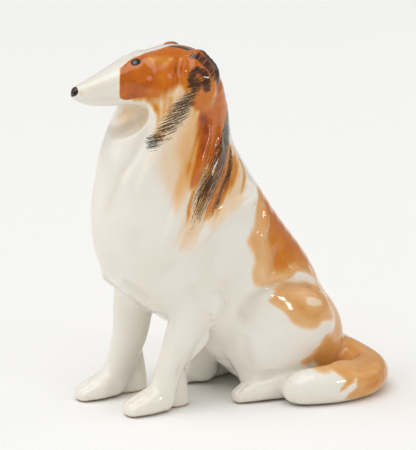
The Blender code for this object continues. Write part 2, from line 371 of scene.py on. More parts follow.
def net(values: Array, low: Array, step: float) -> tuple[Array, Array]:
    """Surface net: one vertex in each crossed cell, one quad on each crossed edge.

    Args:
        values: Distances on a regular grid.
        low: The grid's first corner.
        step: The grid's spacing.

    Returns:
        The vertices, and the quads as rows of four vertex numbers.
    """
    inside = values < 0
    size = np.array(values.shape) - 1
    corners = [np.array([x, y, z]) for x in (0, 1) for y in (0, 1) for z in (0, 1)]
    filled = sum(inside[x:x + size[0], y:y + size[1], z:z + size[2]].astype(np.int8)
                 for x, y, z in corners)
    cells = np.argwhere((filled > 0) & (filled < 8))
    index = np.full(size, -1, np.int64)
    index[tuple(cells.T)] = np.arange(len(cells))
    total, hits = np.zeros((len(cells), 3)), np.zeros(len(cells))
    pairs = [(a, b) for i, a in enumerate(corners) for b in corners[i + 1:] if np.abs(a - b).sum() == 1]
    for a, b in pairs:
        first, second = values[tuple((cells + a).T)], values[tuple((cells + b).T)]
        crossed = (first < 0) != (second < 0)
        share = np.where(crossed, first / np.where(crossed, first - second, 1), 0)[:, None]
        total += (a * (1 - share) + b * share) * crossed[:, None]
        hits += crossed
    quads = []
    for axis in range(3):
        one, two = np.eye(3, dtype=int)[(axis + 1) % 3], np.eye(3, dtype=int)[(axis + 2) % 3]
        near, far = [slice(None)] * 3, [slice(None)] * 3
        near[axis], far[axis] = slice(0, -1), slice(1, None)
        start = inside[tuple(near)]
        edges = np.argwhere(start != inside[tuple(far)])
        out = start[tuple(edges.T)]
        ring = np.stack([index[tuple((edges - shift).T)] for shift in (0 * one, one, one + two, two)], 1)
        ring[~out] = ring[~out][:, ::-1]
        quads.append(ring)
    return low + step * (cells + total / hits[:, None]), np.vstack(quads)


def relax(verts: Array, quads: Array, share: float = 0.5) -> Array:
    """Move each vertex part of the way to the middle of its neighbours.

    Args:
        verts: The vertices.
        quads: Rows of four vertex numbers.
        share: How much of the way.

    Returns:
        The moved vertices.
    """
    total, count = np.zeros_like(verts), np.zeros(len(verts))
    for a, b in QUAD_EDGES:
        for here, there in ((a, b), (b, a)):
            np.add.at(total, quads[:, here], verts[quads[:, there]])
            np.add.at(count, quads[:, here], 1)
    return verts * (1 - share) + share * total / count[:, None]


def settle(clay: Clay, verts: Array) -> Array:
    """Pull vertices onto the clay's surface.

    Args:
        clay: What they belong on.
        verts: Vertices near its surface.

    Returns:
        The moved vertices.
    """
    longest, flattest = 1.5, 0.05   # limits on a move, and on the slope it is divided by
    slope = clay.slope(verts)
    move = clay.distance(verts)[:, None] * slope / np.maximum((slope**2).sum(1), flattest)[:, None]
    size = np.linalg.norm(move, axis=1, keepdims=True)
    return verts - move * np.minimum(1, longest / np.maximum(size, 1e-9))


def refine(verts: Array, quads: Array) -> tuple[Array, Array]:
    """Cut each quad into four.

    Args:
        verts: The vertices.
        quads: Rows of four vertex numbers.

    Returns:
        The finer vertices and quads.
    """
    edges = np.sort(np.vstack([quads[:, pair] for pair in QUAD_EDGES]), axis=1)
    unique, where = np.unique(edges, axis=0, return_inverse=True)
    middle = where.reshape(4, -1).T + len(verts)
    centre = np.arange(len(quads)) + len(verts) + len(unique)
    points = np.vstack([verts, verts[unique].mean(1), verts[quads].mean(1)])
    parts = [np.stack([quads[:, i], middle[:, i], centre, middle[:, i - 1]], 1) for i in range(4)]
    return points, np.vstack(parts)


def vertex_normals(verts: Array, quads: Array) -> Array:
    """Area-weighted normals at the vertices.

    Args:
        verts: The vertices.
        quads: Rows of four vertex numbers.

    Returns:
        One unit vector for each vertex.
    """
    across = verts[quads[:, 2]] - verts[quads[:, 0]]
    other = verts[quads[:, 3]] - verts[quads[:, 1]]
    faces = np.cross(across, other)
    total = np.zeros_like(verts)
    for k in range(4):
        np.add.at(total, quads[:, k], faces)
    return unit(total)


@dataclass
class Skin:
    """A triangle mesh whose vertices carry columns of numbers."""

    points: Array
    triangles: Array
    normals: Array
    columns: dict[str, Array]

    def take(self, triangles: Array) -> Skin:
        """The same skin with only some triangles and the vertices they use."""
        used, index = np.unique(triangles, return_inverse=True)
        return Skin(self.points[used], index.reshape(-1, 3), self.normals[used],
                    {name: values[used] for name, values in self.columns.items()})

    def split(self, side: Array) -> tuple[Skin, Skin]:
        """Cut the skin where a value at its vertices changes sign.

        Args:
            side: One value for each vertex, negative for the part to cut out.

        Returns:
            The part where the value is negative, and the rest.
        """
        least = 0.02    # keeps the cut clear of the vertices
        side = np.where(np.abs(side) < least, np.where(side < 0, -least, least), side)
        inner = side[self.triangles] < 0
        count = inner.sum(1)
        crossed = self.triangles[(count == 1) | (count == 2)]
        flags = side[crossed] < 0
        alone = np.where(flags.sum(1) == 1, flags.argmax(1), (~flags).argmax(1))
        rows = np.arange(len(crossed))
        first, second, third = (crossed[rows, (alone + k) % 3] for k in range(3))
        edges = np.sort(np.vstack([np.stack([first, second], 1), np.stack([first, third], 1)]), axis=1)
        unique, where = np.unique(edges, axis=0, return_inverse=True)
        where = where.reshape(2, -1) + len(self.points)
        a, b = unique.T
        t = (side[a] / (side[a] - side[b]))[:, None]

        def blended(values: Array) -> Array:
            """A column with its values on the cut edges added."""
            share = t if values.ndim > 1 else t[:, 0]
            return np.concatenate([values, values[a] * (1 - share) + values[b] * share])

        whole = Skin(blended(self.points), self.triangles, unit(blended(self.normals)),
                     {name: blended(values) for name, values in self.columns.items()})
        tips = np.stack([first, where[0], where[1]], 1)
        stumps = np.vstack([np.stack([where[0], second, third], 1),
                            np.stack([where[0], third, where[1]], 1)])
        tip_inside = side[first] < 0
        twice = np.concatenate([tip_inside, tip_inside])
        cut_out = np.vstack([self.triangles[count == 3], tips[tip_inside], stumps[~twice]])
        rest = np.vstack([self.triangles[count == 0], tips[~tip_inside], stumps[twice]])
        return whole.take(cut_out), whole.take(rest)

    def to_object(self, name: str) -> bpy.types.Object:
        """Make a smooth-shaded object, in metres about the figurine's own origin.

        Args:
            name: The object's name.

        Returns:
            The object, linked to the scene.
        """
        mesh = bpy.data.meshes.new(name)
        mesh.vertices.add(len(self.points))
        mesh.vertices.foreach_set("co", ((self.points + CENTRE_SHIFT) * MM).astype(np.float32).ravel())
        mesh.loops.add(self.triangles.size)
        mesh.loops.foreach_set("vertex_index", self.triangles.astype(np.int32).ravel())
        mesh.polygons.add(len(self.triangles))
        mesh.polygons.foreach_set("loop_start", np.arange(0, self.triangles.size, 3, dtype=np.int32))
        for label, values in self.columns.items():
            kind, entry = ("FLOAT_VECTOR", "vector") if values.ndim > 1 else ("FLOAT", "value")
            layer = mesh.attributes.new(label, kind, "POINT")
            layer.data.foreach_set(entry, values.astype(np.float32).ravel())
        mesh.update(calc_edges=True)
        mesh.shade_smooth()
        mesh.normals_split_custom_set_from_vertices(self.normals.tolist())
        piece = bpy.data.objects.new(name, mesh)
        bpy.context.scene.collection.objects.link(piece)
        return piece


# ------------------------------------------------- strokes and patches ----

@dataclass(frozen=True)
class Reading:
    """Where points lie beside a stroke."""

    gap: Array      # distance from the centre line
    along: Array    # length along the line
    across: Array   # signed distance to its left, seen from outside
    width: Array    # half width of the stroke there
    share: Array    # 0 at the start, 1 at the end


@dataclass(frozen=True)
class Stroke:
    """A line over the surface: rows of x, y, z and half width."""

    rows: Sequence[tuple[float, float, float, float]]

    @cached_property
    def fine(self) -> Array:
        """Closely spaced rows."""
        return spline(self.rows, 6)

    def read(self, points: Array, normals: Array) -> Reading:
        """Measure points against the stroke.

        Args:
            points: Positions on the surface.
            normals: Outward directions at those positions.

        Returns:
            The nearest place on the stroke for each point.
        """
        line = self.fine
        best = Reading(*(np.full(len(points), v) for v in (1e9, 0.0, 0.0, 1.0, 0.0)))
        length = 0.0
        total = np.linalg.norm(np.diff(line[:, :3], axis=0), axis=1).sum()
        for start, end in zip(line, line[1:]):
            step = end[:3] - start[:3]
            size = np.linalg.norm(step)
            t = np.clip(((points - start[:3]) @ step) / size**2, 0, 1)
            offset = points - start[:3] - t[:, None] * step
            gap = np.linalg.norm(offset, axis=1)
            closer = gap < best.gap
            best.gap[closer] = gap[closer]
            best.along[closer] = (length + t * size)[closer]
            side = np.cross(normals[closer], step / size)
            best.across[closer] = (offset[closer] * side).sum(1)
            best.width[closer] = (start[3] + t * (end[3] - start[3]))[closer]
            best.share[closer] = ((length + t * size) / total)[closer]
            length += size
        return best

    def near(self, points: Array, margin: float) -> Array:
        """Which points are close enough to be touched by the stroke.

        Args:
            points: Positions, one row for each.
            margin: How far past its width the stroke may reach.

        Returns:
            True for the points inside the box round the stroke.
        """
        line = self.fine
        reach = line[:, 3].max() + margin
        low, high = line[:, :3].min(0) - reach, line[:, :3].max(0) + reach
        return ((points > low) & (points < high)).all(1)


class Relief(Enum):
    """How a modelling tool leaves the clay along a line."""

    RIDGE = "ridge"
    GROOVE = "groove"
    STEP = "step"


@dataclass(frozen=True)
class Fold(Stroke):
    """A modelled line in the clay; a step is raised on its left, seen from outside."""

    kind: Relief = Relief.GROOVE
    height: float = 0.8
    fade: float = 0.22

    def lift(self, points: Array, normals: Array) -> Array:
        """How far the surface rises along its normal at each point.

        Args:
            points: Positions on the surface.
            normals: Outward directions at those positions.

        Returns:
            Heights, negative where the clay is pressed in.
        """
        lift = np.zeros(len(points))
        near = self.near(points, 3 * max(row[3] for row in self.rows))
        if not near.any():
            return lift
        at = self.read(points[near], normals[near])
        ends = ramp(at.share, 0, self.fade) * ramp(1 - at.share, 0, self.fade)
        profile = np.exp(-((at.gap / at.width) ** 2))
        if self.kind is Relief.STEP:
            edge = 0.35 * at.width
            profile = (0.5 + 0.5 * np.tanh(at.across / edge)) * np.exp(-((at.gap / (2 * at.width)) ** 2))
        sign = -1 if self.kind is Relief.GROOVE else 1
        lift[near] = sign * FOLD_DEPTH * self.height * ends * profile
        return lift


def streaks(points: Array, flow: tuple[float, float, float]) -> Array:
    """Uneven lines along a direction, between -1 and 1.

    Args:
        points: Positions on the surface.
        flow: The way the brush was drawn.

    Returns:
        One number for each point.
    """
    along_axis = unit(np.array(flow))
    along = points @ along_axis
    across = points @ np.cross((1.0, 0.0, 0.0), along_axis) + 0.4 * points[:, 0]
    wander = 1.5 * np.sin(along / 16 + across / 9)
    return (np.sin(across / 0.6 + wander) + np.sin(across / 1.1 + 1.3 * wander + 2)
            + np.sin(across / 2.3 + 0.7 * wander + 5)) / 3


@dataclass(frozen=True)
class Wash(Stroke):
    """A brushed line of thin colour: 1 is the full orange, 0 leaves the glaze bare."""

    density: float = 0.6
    soft: float = 0.6
    start: float = 0.1
    end: float = 0.35

    def cover(self, points: Array, normals: Array) -> Array:
        """How much of the surface the wash hides.

        Args:
            points: Positions on the surface.
            normals: Outward directions at those positions.

        Returns:
            One number from 0 to 1 for each point.
        """
        cover = np.zeros(len(points))
        near = self.near(points, 2)
        if near.any():
            at = self.read(points[near], normals[near])
            ends = ramp(at.share, 0, self.start) * ramp(1 - at.share, 0, self.end)
            cover[near] = ends * (1 - ramp(at.gap / at.width, 1 - self.soft, 1))
        return cover


@dataclass(frozen=True)
class Patch:
    """A closed shape of thin colour on the flank, as rows of y and z."""

    outline: Sequence[tuple[float, float]]
    density: float = 0.6
    soft: float = 2.0
    inside: float = 0.0
    streak: float = 0.0
    flow: tuple[float, float, float] = (0.0, -0.38, -0.92)

    @cached_property
    def fine(self) -> Array:
        """The outline with round corners."""
        rows = list(self.outline)
        return spline(rows[-1:] + rows + rows[:2], 5)[5:-5]

    def depth(self, points: Array) -> Array:
        """Distance inside the outline, seen from the dog's side.

        Args:
            points: Positions on the surface.

        Returns:
            Distances, negative outside.
        """
        flat = points[:, 1:]
        line = self.fine
        best, crossings = np.full(len(flat), 1e9), np.zeros(len(flat), int)
        for a, b in zip(line, np.roll(line, -1, axis=0)):
            step = b - a
            length = step @ step
            if length < 1e-9:
                continue
            t = np.clip(((flat - a) @ step) / length, 0, 1)
            best = np.minimum(best, np.linalg.norm(flat - a - t[:, None] * step, axis=1))
            if a[1] != b[1]:
                spans = (flat[:, 1] > min(a[1], b[1])) & (flat[:, 1] <= max(a[1], b[1]))
                crossings += spans & (flat[:, 0] < a[0] + (flat[:, 1] - a[1]) * step[0] / step[1])
        return np.where(crossings % 2 == 1, best, -best)

    def cover(self, points: Array, normals: Array) -> Array:
        """How much of the surface the patch hides.

        Args:
            points: Positions on the surface.
            normals: Outward directions there, which a patch has no use for.

        Returns:
            One number from 0 to 1 for each point.
        """
        cover = np.zeros(len(points))
        reach = self.soft + self.streak
        low, high = self.fine.min(0) - reach, self.fine.max(0) + reach
        near = ((points[:, 1:] > low) & (points[:, 1:] < high)).all(1) & (points[:, 0] > self.inside)
        if near.any():
            depth = self.depth(points[near]) + self.streak * streaks(points[near], self.flow)
            cover[near] = ramp(depth, -self.soft, self.soft)
        return cover


@dataclass(frozen=True)
class Bristle(Stroke):
    """A dry brush loaded with black: hairs follow the line, or are raked across it."""

    load: float = 0.8
    rake: tuple[float, float, float] | None = None
    dries: float = 0.4

    def hairs(self, points: Array, normals: Array) -> tuple[Array, Array, Array]:
        """How much paint there is at each point, and the direction of the hairs.

        Args:
            points: Positions on the surface.
            normals: Outward directions at those positions.

        Returns:
            The load of paint, the place along the hairs and the place across them.
        """
        at = self.read(points, normals)
        edge = 1 - (at.gap / at.width) ** 2
        load = self.load * (1 - self.dries * at.share) * np.maximum(edge, -2) + 0.15 * np.minimum(edge, 0)
        if self.rake is None:
            return load, at.along, at.across
        along = unit(np.array(self.rake))
        return load, points @ along, points @ np.cross((1.0, 0.0, 0.0), along)


Paint = Wash | Patch


def mirrored_places(points: Array) -> Array:
    """Fold the right flank onto the left one, a little out of true as hand work is.

    Args:
        points: Positions on the surface.

    Returns:
        The same positions with X made positive.
    """
    folded = points.copy()
    folded[:, 0] = np.abs(points[:, 0])
    away = ramp(-points[:, 0], 3, 16)
    y, z = points[:, 1], points[:, 2]
    folded[:, 1] += away * (1.8 * np.sin(z / 9 + 1) + 1.2 * np.sin((y + z) / 5))
    folded[:, 2] += away * (1.8 * np.sin(y / 8 + 2) + 1.2 * np.sin((y - z) / 6))
    return folded


# ------------------------------------------------------------ the dog ----

class Flank(Enum):
    """A side of the dog, as the sign of X."""

    LEFT = 1
    RIGHT = -1


@dataclass
class Torso:
    """Body, rump, mane, neck and chest."""

    flank_rows: tuple = ((0, -33, 132, 25, 28), (0, -18.6, 106, 30, 33.6), (0, -0.8, 76, 31.5, 38),
                         (0, 17.5, 48, 31, 39.5), (0, 35.5, 20, 29, 30.5))
    rump: Ball = Ball((0, 38, 27), (30, 33, 32))
    squareness: float = 2.2
    mane_rows: tuple = ((64, -62, -20, 20), (72, -73, 0, 27), (80, -79.5, 18, 31), (95, -84, 22, 33),
                        (112, -85, 17, 32.5), (130, -83, 7, 30.5), (147, -79.5, -2, 27),
                        (160, -74, -6, 23.5), (168, -68, -8, 21.5))
    neck_rows: tuple = ((0, -38.5, 160, 24, 32.5), (0, -36, 174, 23.5, 27.5), (0, -34.5, 183.5, 20.5, 19))
    neck_power: float = 2.3
    brisket_rows: tuple = ((0, -63, 91.5, 22, 16), (0, -50, 78, 23, 18), (0, -34, 63, 24, 18),
                           (0, -14, 52, 26, 17))
    throat: Ball = Ball((3, -80, 170), (23, 23, 14.5))

    def model(self, clay: Clay) -> None:
        """Press the trunk together and scoop out the throat under the jaw.

        Args:
            clay: The clay to add to.
        """
        clay.add(Limb(self.flank_rows), 0)
        clay.add(self.rump, 10)
        clay.add(Stack([(*row, self.squareness) for row in self.mane_rows]), 8)
        clay.add(Limb(self.neck_rows, power=self.neck_power), 8)
        clay.add(Limb(self.brisket_rows, steps=3), 8)
        clay.carve(self.throat, 2.5)

    def folds(self) -> list[Fold]:
        """Locks of the mane, the bib, the cape's hem and the creases of the flank.

        Returns:
            The folds.
        """
        step, ridge, groove = Relief.STEP, Relief.RIDGE, Relief.GROOVE
        return [
            Fold([(15, -60, 171, 2), (18, -62, 163, 2.5), (18, -65, 157, 3), (18, -71, 148, 3),
                  (14, -77, 137, 3), (10, -81, 121, 3), (6, -83, 108, 3)], groove, 0.9),
            Fold([(21, -2, 130, 3), (23, 0, 122, 3.5), (27, -4, 117, 3.5), (32, -20, 114, 3.5),
                  (33, -31, 107, 3.5), (33, -41, 100, 4), (31, -51, 90, 4)], ridge, 1.5, 0.12),
            Fold([(22, -39, 179, 3), (22, -48, 168, 3.5), (22, -58, 156, 4), (22, -68, 139, 4),
                  (21, -73, 125, 4)], step, 0.9),
            Fold([(24, -31, 160, 3), (27, -38, 148, 4), (30, -49, 130, 4), (30, -57, 111, 4),
                  (28, -61, 98, 4)], step, 1.0),
            Fold([(21, -18, 158, 3), (27, -27, 141, 3.5), (32, -40, 121, 4), (32, -50, 102, 4)],
                 step, 1.2),
            Fold([(23, -26, 166, 1.6), (25, -29, 156, 2), (28, -34, 146, 2.2), (30, -41, 134, 2.6)],
                 ridge, 0.9, 0.3),
            Fold([(21, -19, 162, 1.8), (25, -22, 150, 2), (29, -30, 139, 2.2), (31, -38, 126, 2.6)],
                 ridge, 0.8, 0.3),
            Fold([(21, 7, 116, 2), (26, 7, 104, 2.6), (30, 1, 96, 2.6), (31, -4, 84, 2)], ridge, 1.1),
            Fold([(26, 17, 90, 3), (29, 12, 80, 4), (31, 4, 72, 3)], groove, 0.8),
            Fold([(21, 52, 60, 3), (27, 29, 65, 3), (31, 10, 67, 3), (31, 1, 64, 3), (31, -3, 60, 4),
                  (29, -7, 53, 4), (28, -8, 44, 4)], groove, 1.7, 0.12),
            Fold([(30, 13, 71, 2), (24, 30, 73, 2.5), (16, 44, 66, 2)], ridge, 1.0),
            Fold([(33, -25, 108, 4), (33, -31, 95, 5), (32, -31, 80, 5), (31, -28, 67, 4)],
                 groove, 0.45, 0.4),
            Fold([(24, -72, 112, 3), (23, -73, 98, 4), (21, -73, 86, 4)], groove, 0.4, 0.4),
            Fold([(12, -79, 96, 3), (11, -80, 84, 4), (9, -76, 76, 4)], groove, 0.35, 0.4),
            Fold([(31, -50, 92, 3), (29, -58, 82, 4), (25, -61, 74, 4)], groove, 0.45, 0.4),
            Fold([(4, -79, 79, 2), (8, -73, 73, 2.5), (9, -66, 66, 2.5), (8, -57, 60, 2.5),
                  (10, -48, 55, 2)], step, 1.3),
            Fold([(12, -76, 80, 2), (15, -68, 72, 2.5), (15, -60, 65, 2)], groove, 0.8),
            Fold([(31, -30, 70, 2), (31, -27, 63, 2.5), (30, -30, 55, 2)], ridge, 1.0),
            Fold([(28, -44, 78, 3), (29, -38, 68, 3.5), (28, -36, 58, 4)], groove, 0.45, 0.4),
            Fold([(32, -12, 92, 3), (33, -14, 80, 4), (32, -15, 66, 4)], groove, 0.35, 0.4),
        ]

    def colours(self) -> list[Paint]:
        """Thin orange over the neck, back and hips, and a faint warm wash under the jaw that is painted
        shade, in the order it is laid.

        Returns:
            The colours, first one lowest.
        """
        return [
            Patch([(-38, 182), (-47, 170), (-56, 160), (-62, 148), (-60, 132), (-50, 128), (-45, 139),
                   (-38, 150), (-33, 168)], 0.12, 7),
            Patch([(-36, 182), (-40, 170), (-47, 158), (-49, 148), (-45, 144), (-38, 152), (-33, 168)],
                  0.24, 5, 0, 1.5),
            Patch([(-46, 148), (-53, 136), (-56, 124), (-53, 116), (-47, 124), (-41, 134)],
                  0.16, 5, 0, 1.5),
            Patch([(-44, 122), (-51, 108), (-53, 98), (-47, 96), (-39, 106), (-35, 116)], 0.14, 4, 0, 2),
            # painted shade: a faint warm wash in the hollow under the jaw, where the jaw's shade falls
            Wash([(-4, -72, 162, 9), (4, -64, 166, 13), (12, -60, 166, 10)], 0.16, 1.0, 0.1, 0.1),
            Wash([(22, -47, 171, 6), (22, -54, 163, 7), (22, -62, 154, 6)], 0.30, 1.0, 0.2, 0.3),
            Patch([(-10, 152), (-4, 142), (-2, 128), (-10, 118), (-24, 110), (-34, 104), (-32, 116),
                   (-20, 130)], 0.14, 4),
            Wash([(25, -38, 156, 6), (28, -44, 142, 7), (31, -49, 128, 6), (31, -52, 114, 4)],
                 0.26, 1.0, 0.2, 0.7),
            Wash([(27, -41, 146, 4), (30, -46, 134, 4), (31, -50, 122, 3)], 0.44, 1.0, 0.2, 0.8),
            Wash([(24, -18, 152, 5), (28, -26, 141, 6.5), (31, -33, 130, 6.5), (32, -39, 118, 5),
                  (32, -44, 106, 2.5)], 0.68, 1.0, 0.1, 0.45),
            Wash([(31, -41, 130, 2), (32, -45, 120, 1.8), (32, -46, 113, 1.5), (32, -48, 106, 1)],
                 0.62, 0.9, 0.1, 0.5),
            Patch([(-42, 190), (-39, 178), (-35, 168), (-36, 157), (-39, 147), (-43, 138), (-44, 131),
                   (-41, 130), (-35, 135), (-29, 140), (-22, 149), (-15, 160), (-9, 170),
                   (-8, 186), (-22, 197)], 0.77, 2.6, 0, 2.2),
            Wash([(25, -32, 172, 5), (26, -30, 158, 5), (28, -35, 146, 4), (29, -41, 137, 3)],
                 0.86, 1.0, 0.2, 0.4),
            Wash([(22, -20, 172, 4), (23, -20, 158, 4), (27, -27, 145, 4)], 0.90, 1.0, 0.2, 0.4),
            Wash([(30, -46, 140, 3.5), (31, -51, 129, 3), (31, -54, 118, 2.4)], 0.36, 1.0, 0.2, 0.7),
            Patch([(-14, 150), (-10, 144), (-8, 137), (-13, 130), (-20, 124), (-29, 115), (-35, 111),
                   (-33, 120), (-27, 131), (-21, 142)], 0.56, 1.8, 0, 2.0),
            Wash([(31, -32, 118, 2), (32, -37, 114, 1.6), (32, -41, 109, 1)], 0.46, 1.0, 0.1, 0.6),
            Wash([(17, -5, 141, 1.4), (20, -3, 133, 2), (26, -8, 125, 1.4), (29, -12, 120, 1)],
                 0.50, 0.7),
            Wash([(23, -54, 158, 2), (23, -59, 152, 2), (23, -64, 145, 1.7), (22, -68, 138, 1)],
                 0.52, 0.8, 0.15, 0.3),
            Wash([(32, -40, 114, 2.4), (32, -45, 107, 2), (31, -49, 101, 1.4)], 0.36, 1.0, 0.2, 0.7),
            Patch([(5, 120), (1, 112), (-4, 102), (-8, 96), (-6, 91), (-3, 84), (-4, 76), (-1, 69),
                   (9, 68), (19, 70), (32, 71), (47, 64), (58, 66), (52, 86), (38, 106),
                   (22, 126), (10, 126)], 0.36, 2.6, 0, 0.8, (0, 0.2, -1)),
            Patch([(10, 118), (7, 104), (6, 92), (9, 80), (18, 74), (32, 73), (50, 66), (56, 80),
                   (38, 106), (22, 124)], 0.60, 5, 0, 1.5, (0, 0.3, -1)),
            Wash([(22, 18, 116, 8), (24, 24, 102, 10), (24, 32, 88, 10)], 0.80, 1.0, 0.3, 0.3),
            Wash([(20, 44, 90, 8), (16, 54, 76, 8)], 0.70, 1.0, 0.3, 0.3),
            Wash([(31, 0, 84, 6), (31, 4, 72, 8), (30, 14, 70, 7), (28, 26, 70, 5)], 0.24, 1.0, 0.2, 0.3),
            Patch([(9, 62), (7, 59), (14, 53), (19, 46), (27, 42), (34, 41), (41, 43), (50, 41),
                   (58, 39), (66, 45), (62, 57), (50, 64), (34, 65), (18, 67)],
                  0.38, 2.2, 0, 0.7, (0, 1, -0.5)),
            Wash([(30, 24, 46, 5), (30, 36, 43, 5), (28, 48, 43, 5)], 0.58, 1.0, 0.3, 0.3),
            Wash([(33, 12, 62, 4), (36, 22, 58, 5), (36, 30, 48, 5), (32, 42, 46, 5)], 0.52, 1.0, 0.3, 0.3),
            Wash([(30, 46, 60, 4), (26, 52, 56, 5)], 0.50, 1.0, 0.3, 0.3),
            Wash([(24, 18, 86, 1.2), (26, 21, 77, 1.8), (26, 28, 71, 2.6), (22, 38, 66, 3),
                  (17, 50, 59, 2.4)], 0.04, 0.5, 0.2, 0.2),
            Wash([(33, 28, 57, 2), (34, 33, 56, 3.4), (32, 39, 54, 2.6), (31, 43, 53, 1.5)],
                 0.14, 0.4, 0.2, 0.2),
            Patch([(25, 22), (33, 26), (38, 30), (43, 35), (52, 33), (62, 29), (64, 20), (54, 22),
                   (44, 24), (32, 19)], 0.36, 2.0, 0, 0.7, (0, 1, 0.2)),
            Wash([(30, 36, 27, 3), (28, 46, 29, 4), (24, 54, 28, 4)], 0.52, 1.0, 0.3, 0.3),
        ]

    def strokes(self) -> list[Bristle]:
        """Black dry-brush work down the neck.

        Returns:
            The strokes.
        """
        return [
            Bristle([(11, -7, 172, 4), (18, -12, 158, 5.5), (25, -20, 147, 6.5), (29, -28, 136, 7.5),
                     (31, -35, 126, 7), (32, -40, 116, 4.5), (32, -43, 108, 2.4)], 1.3, None, 0.5),
            Bristle([(20, -11, 147, 1.6), (24, -14, 140, 2.6), (28, -19, 132, 3), (31, -26, 123, 2.6),
                     (32, -32, 112, 1.6)], 0.95, None, 0.4),
        ]


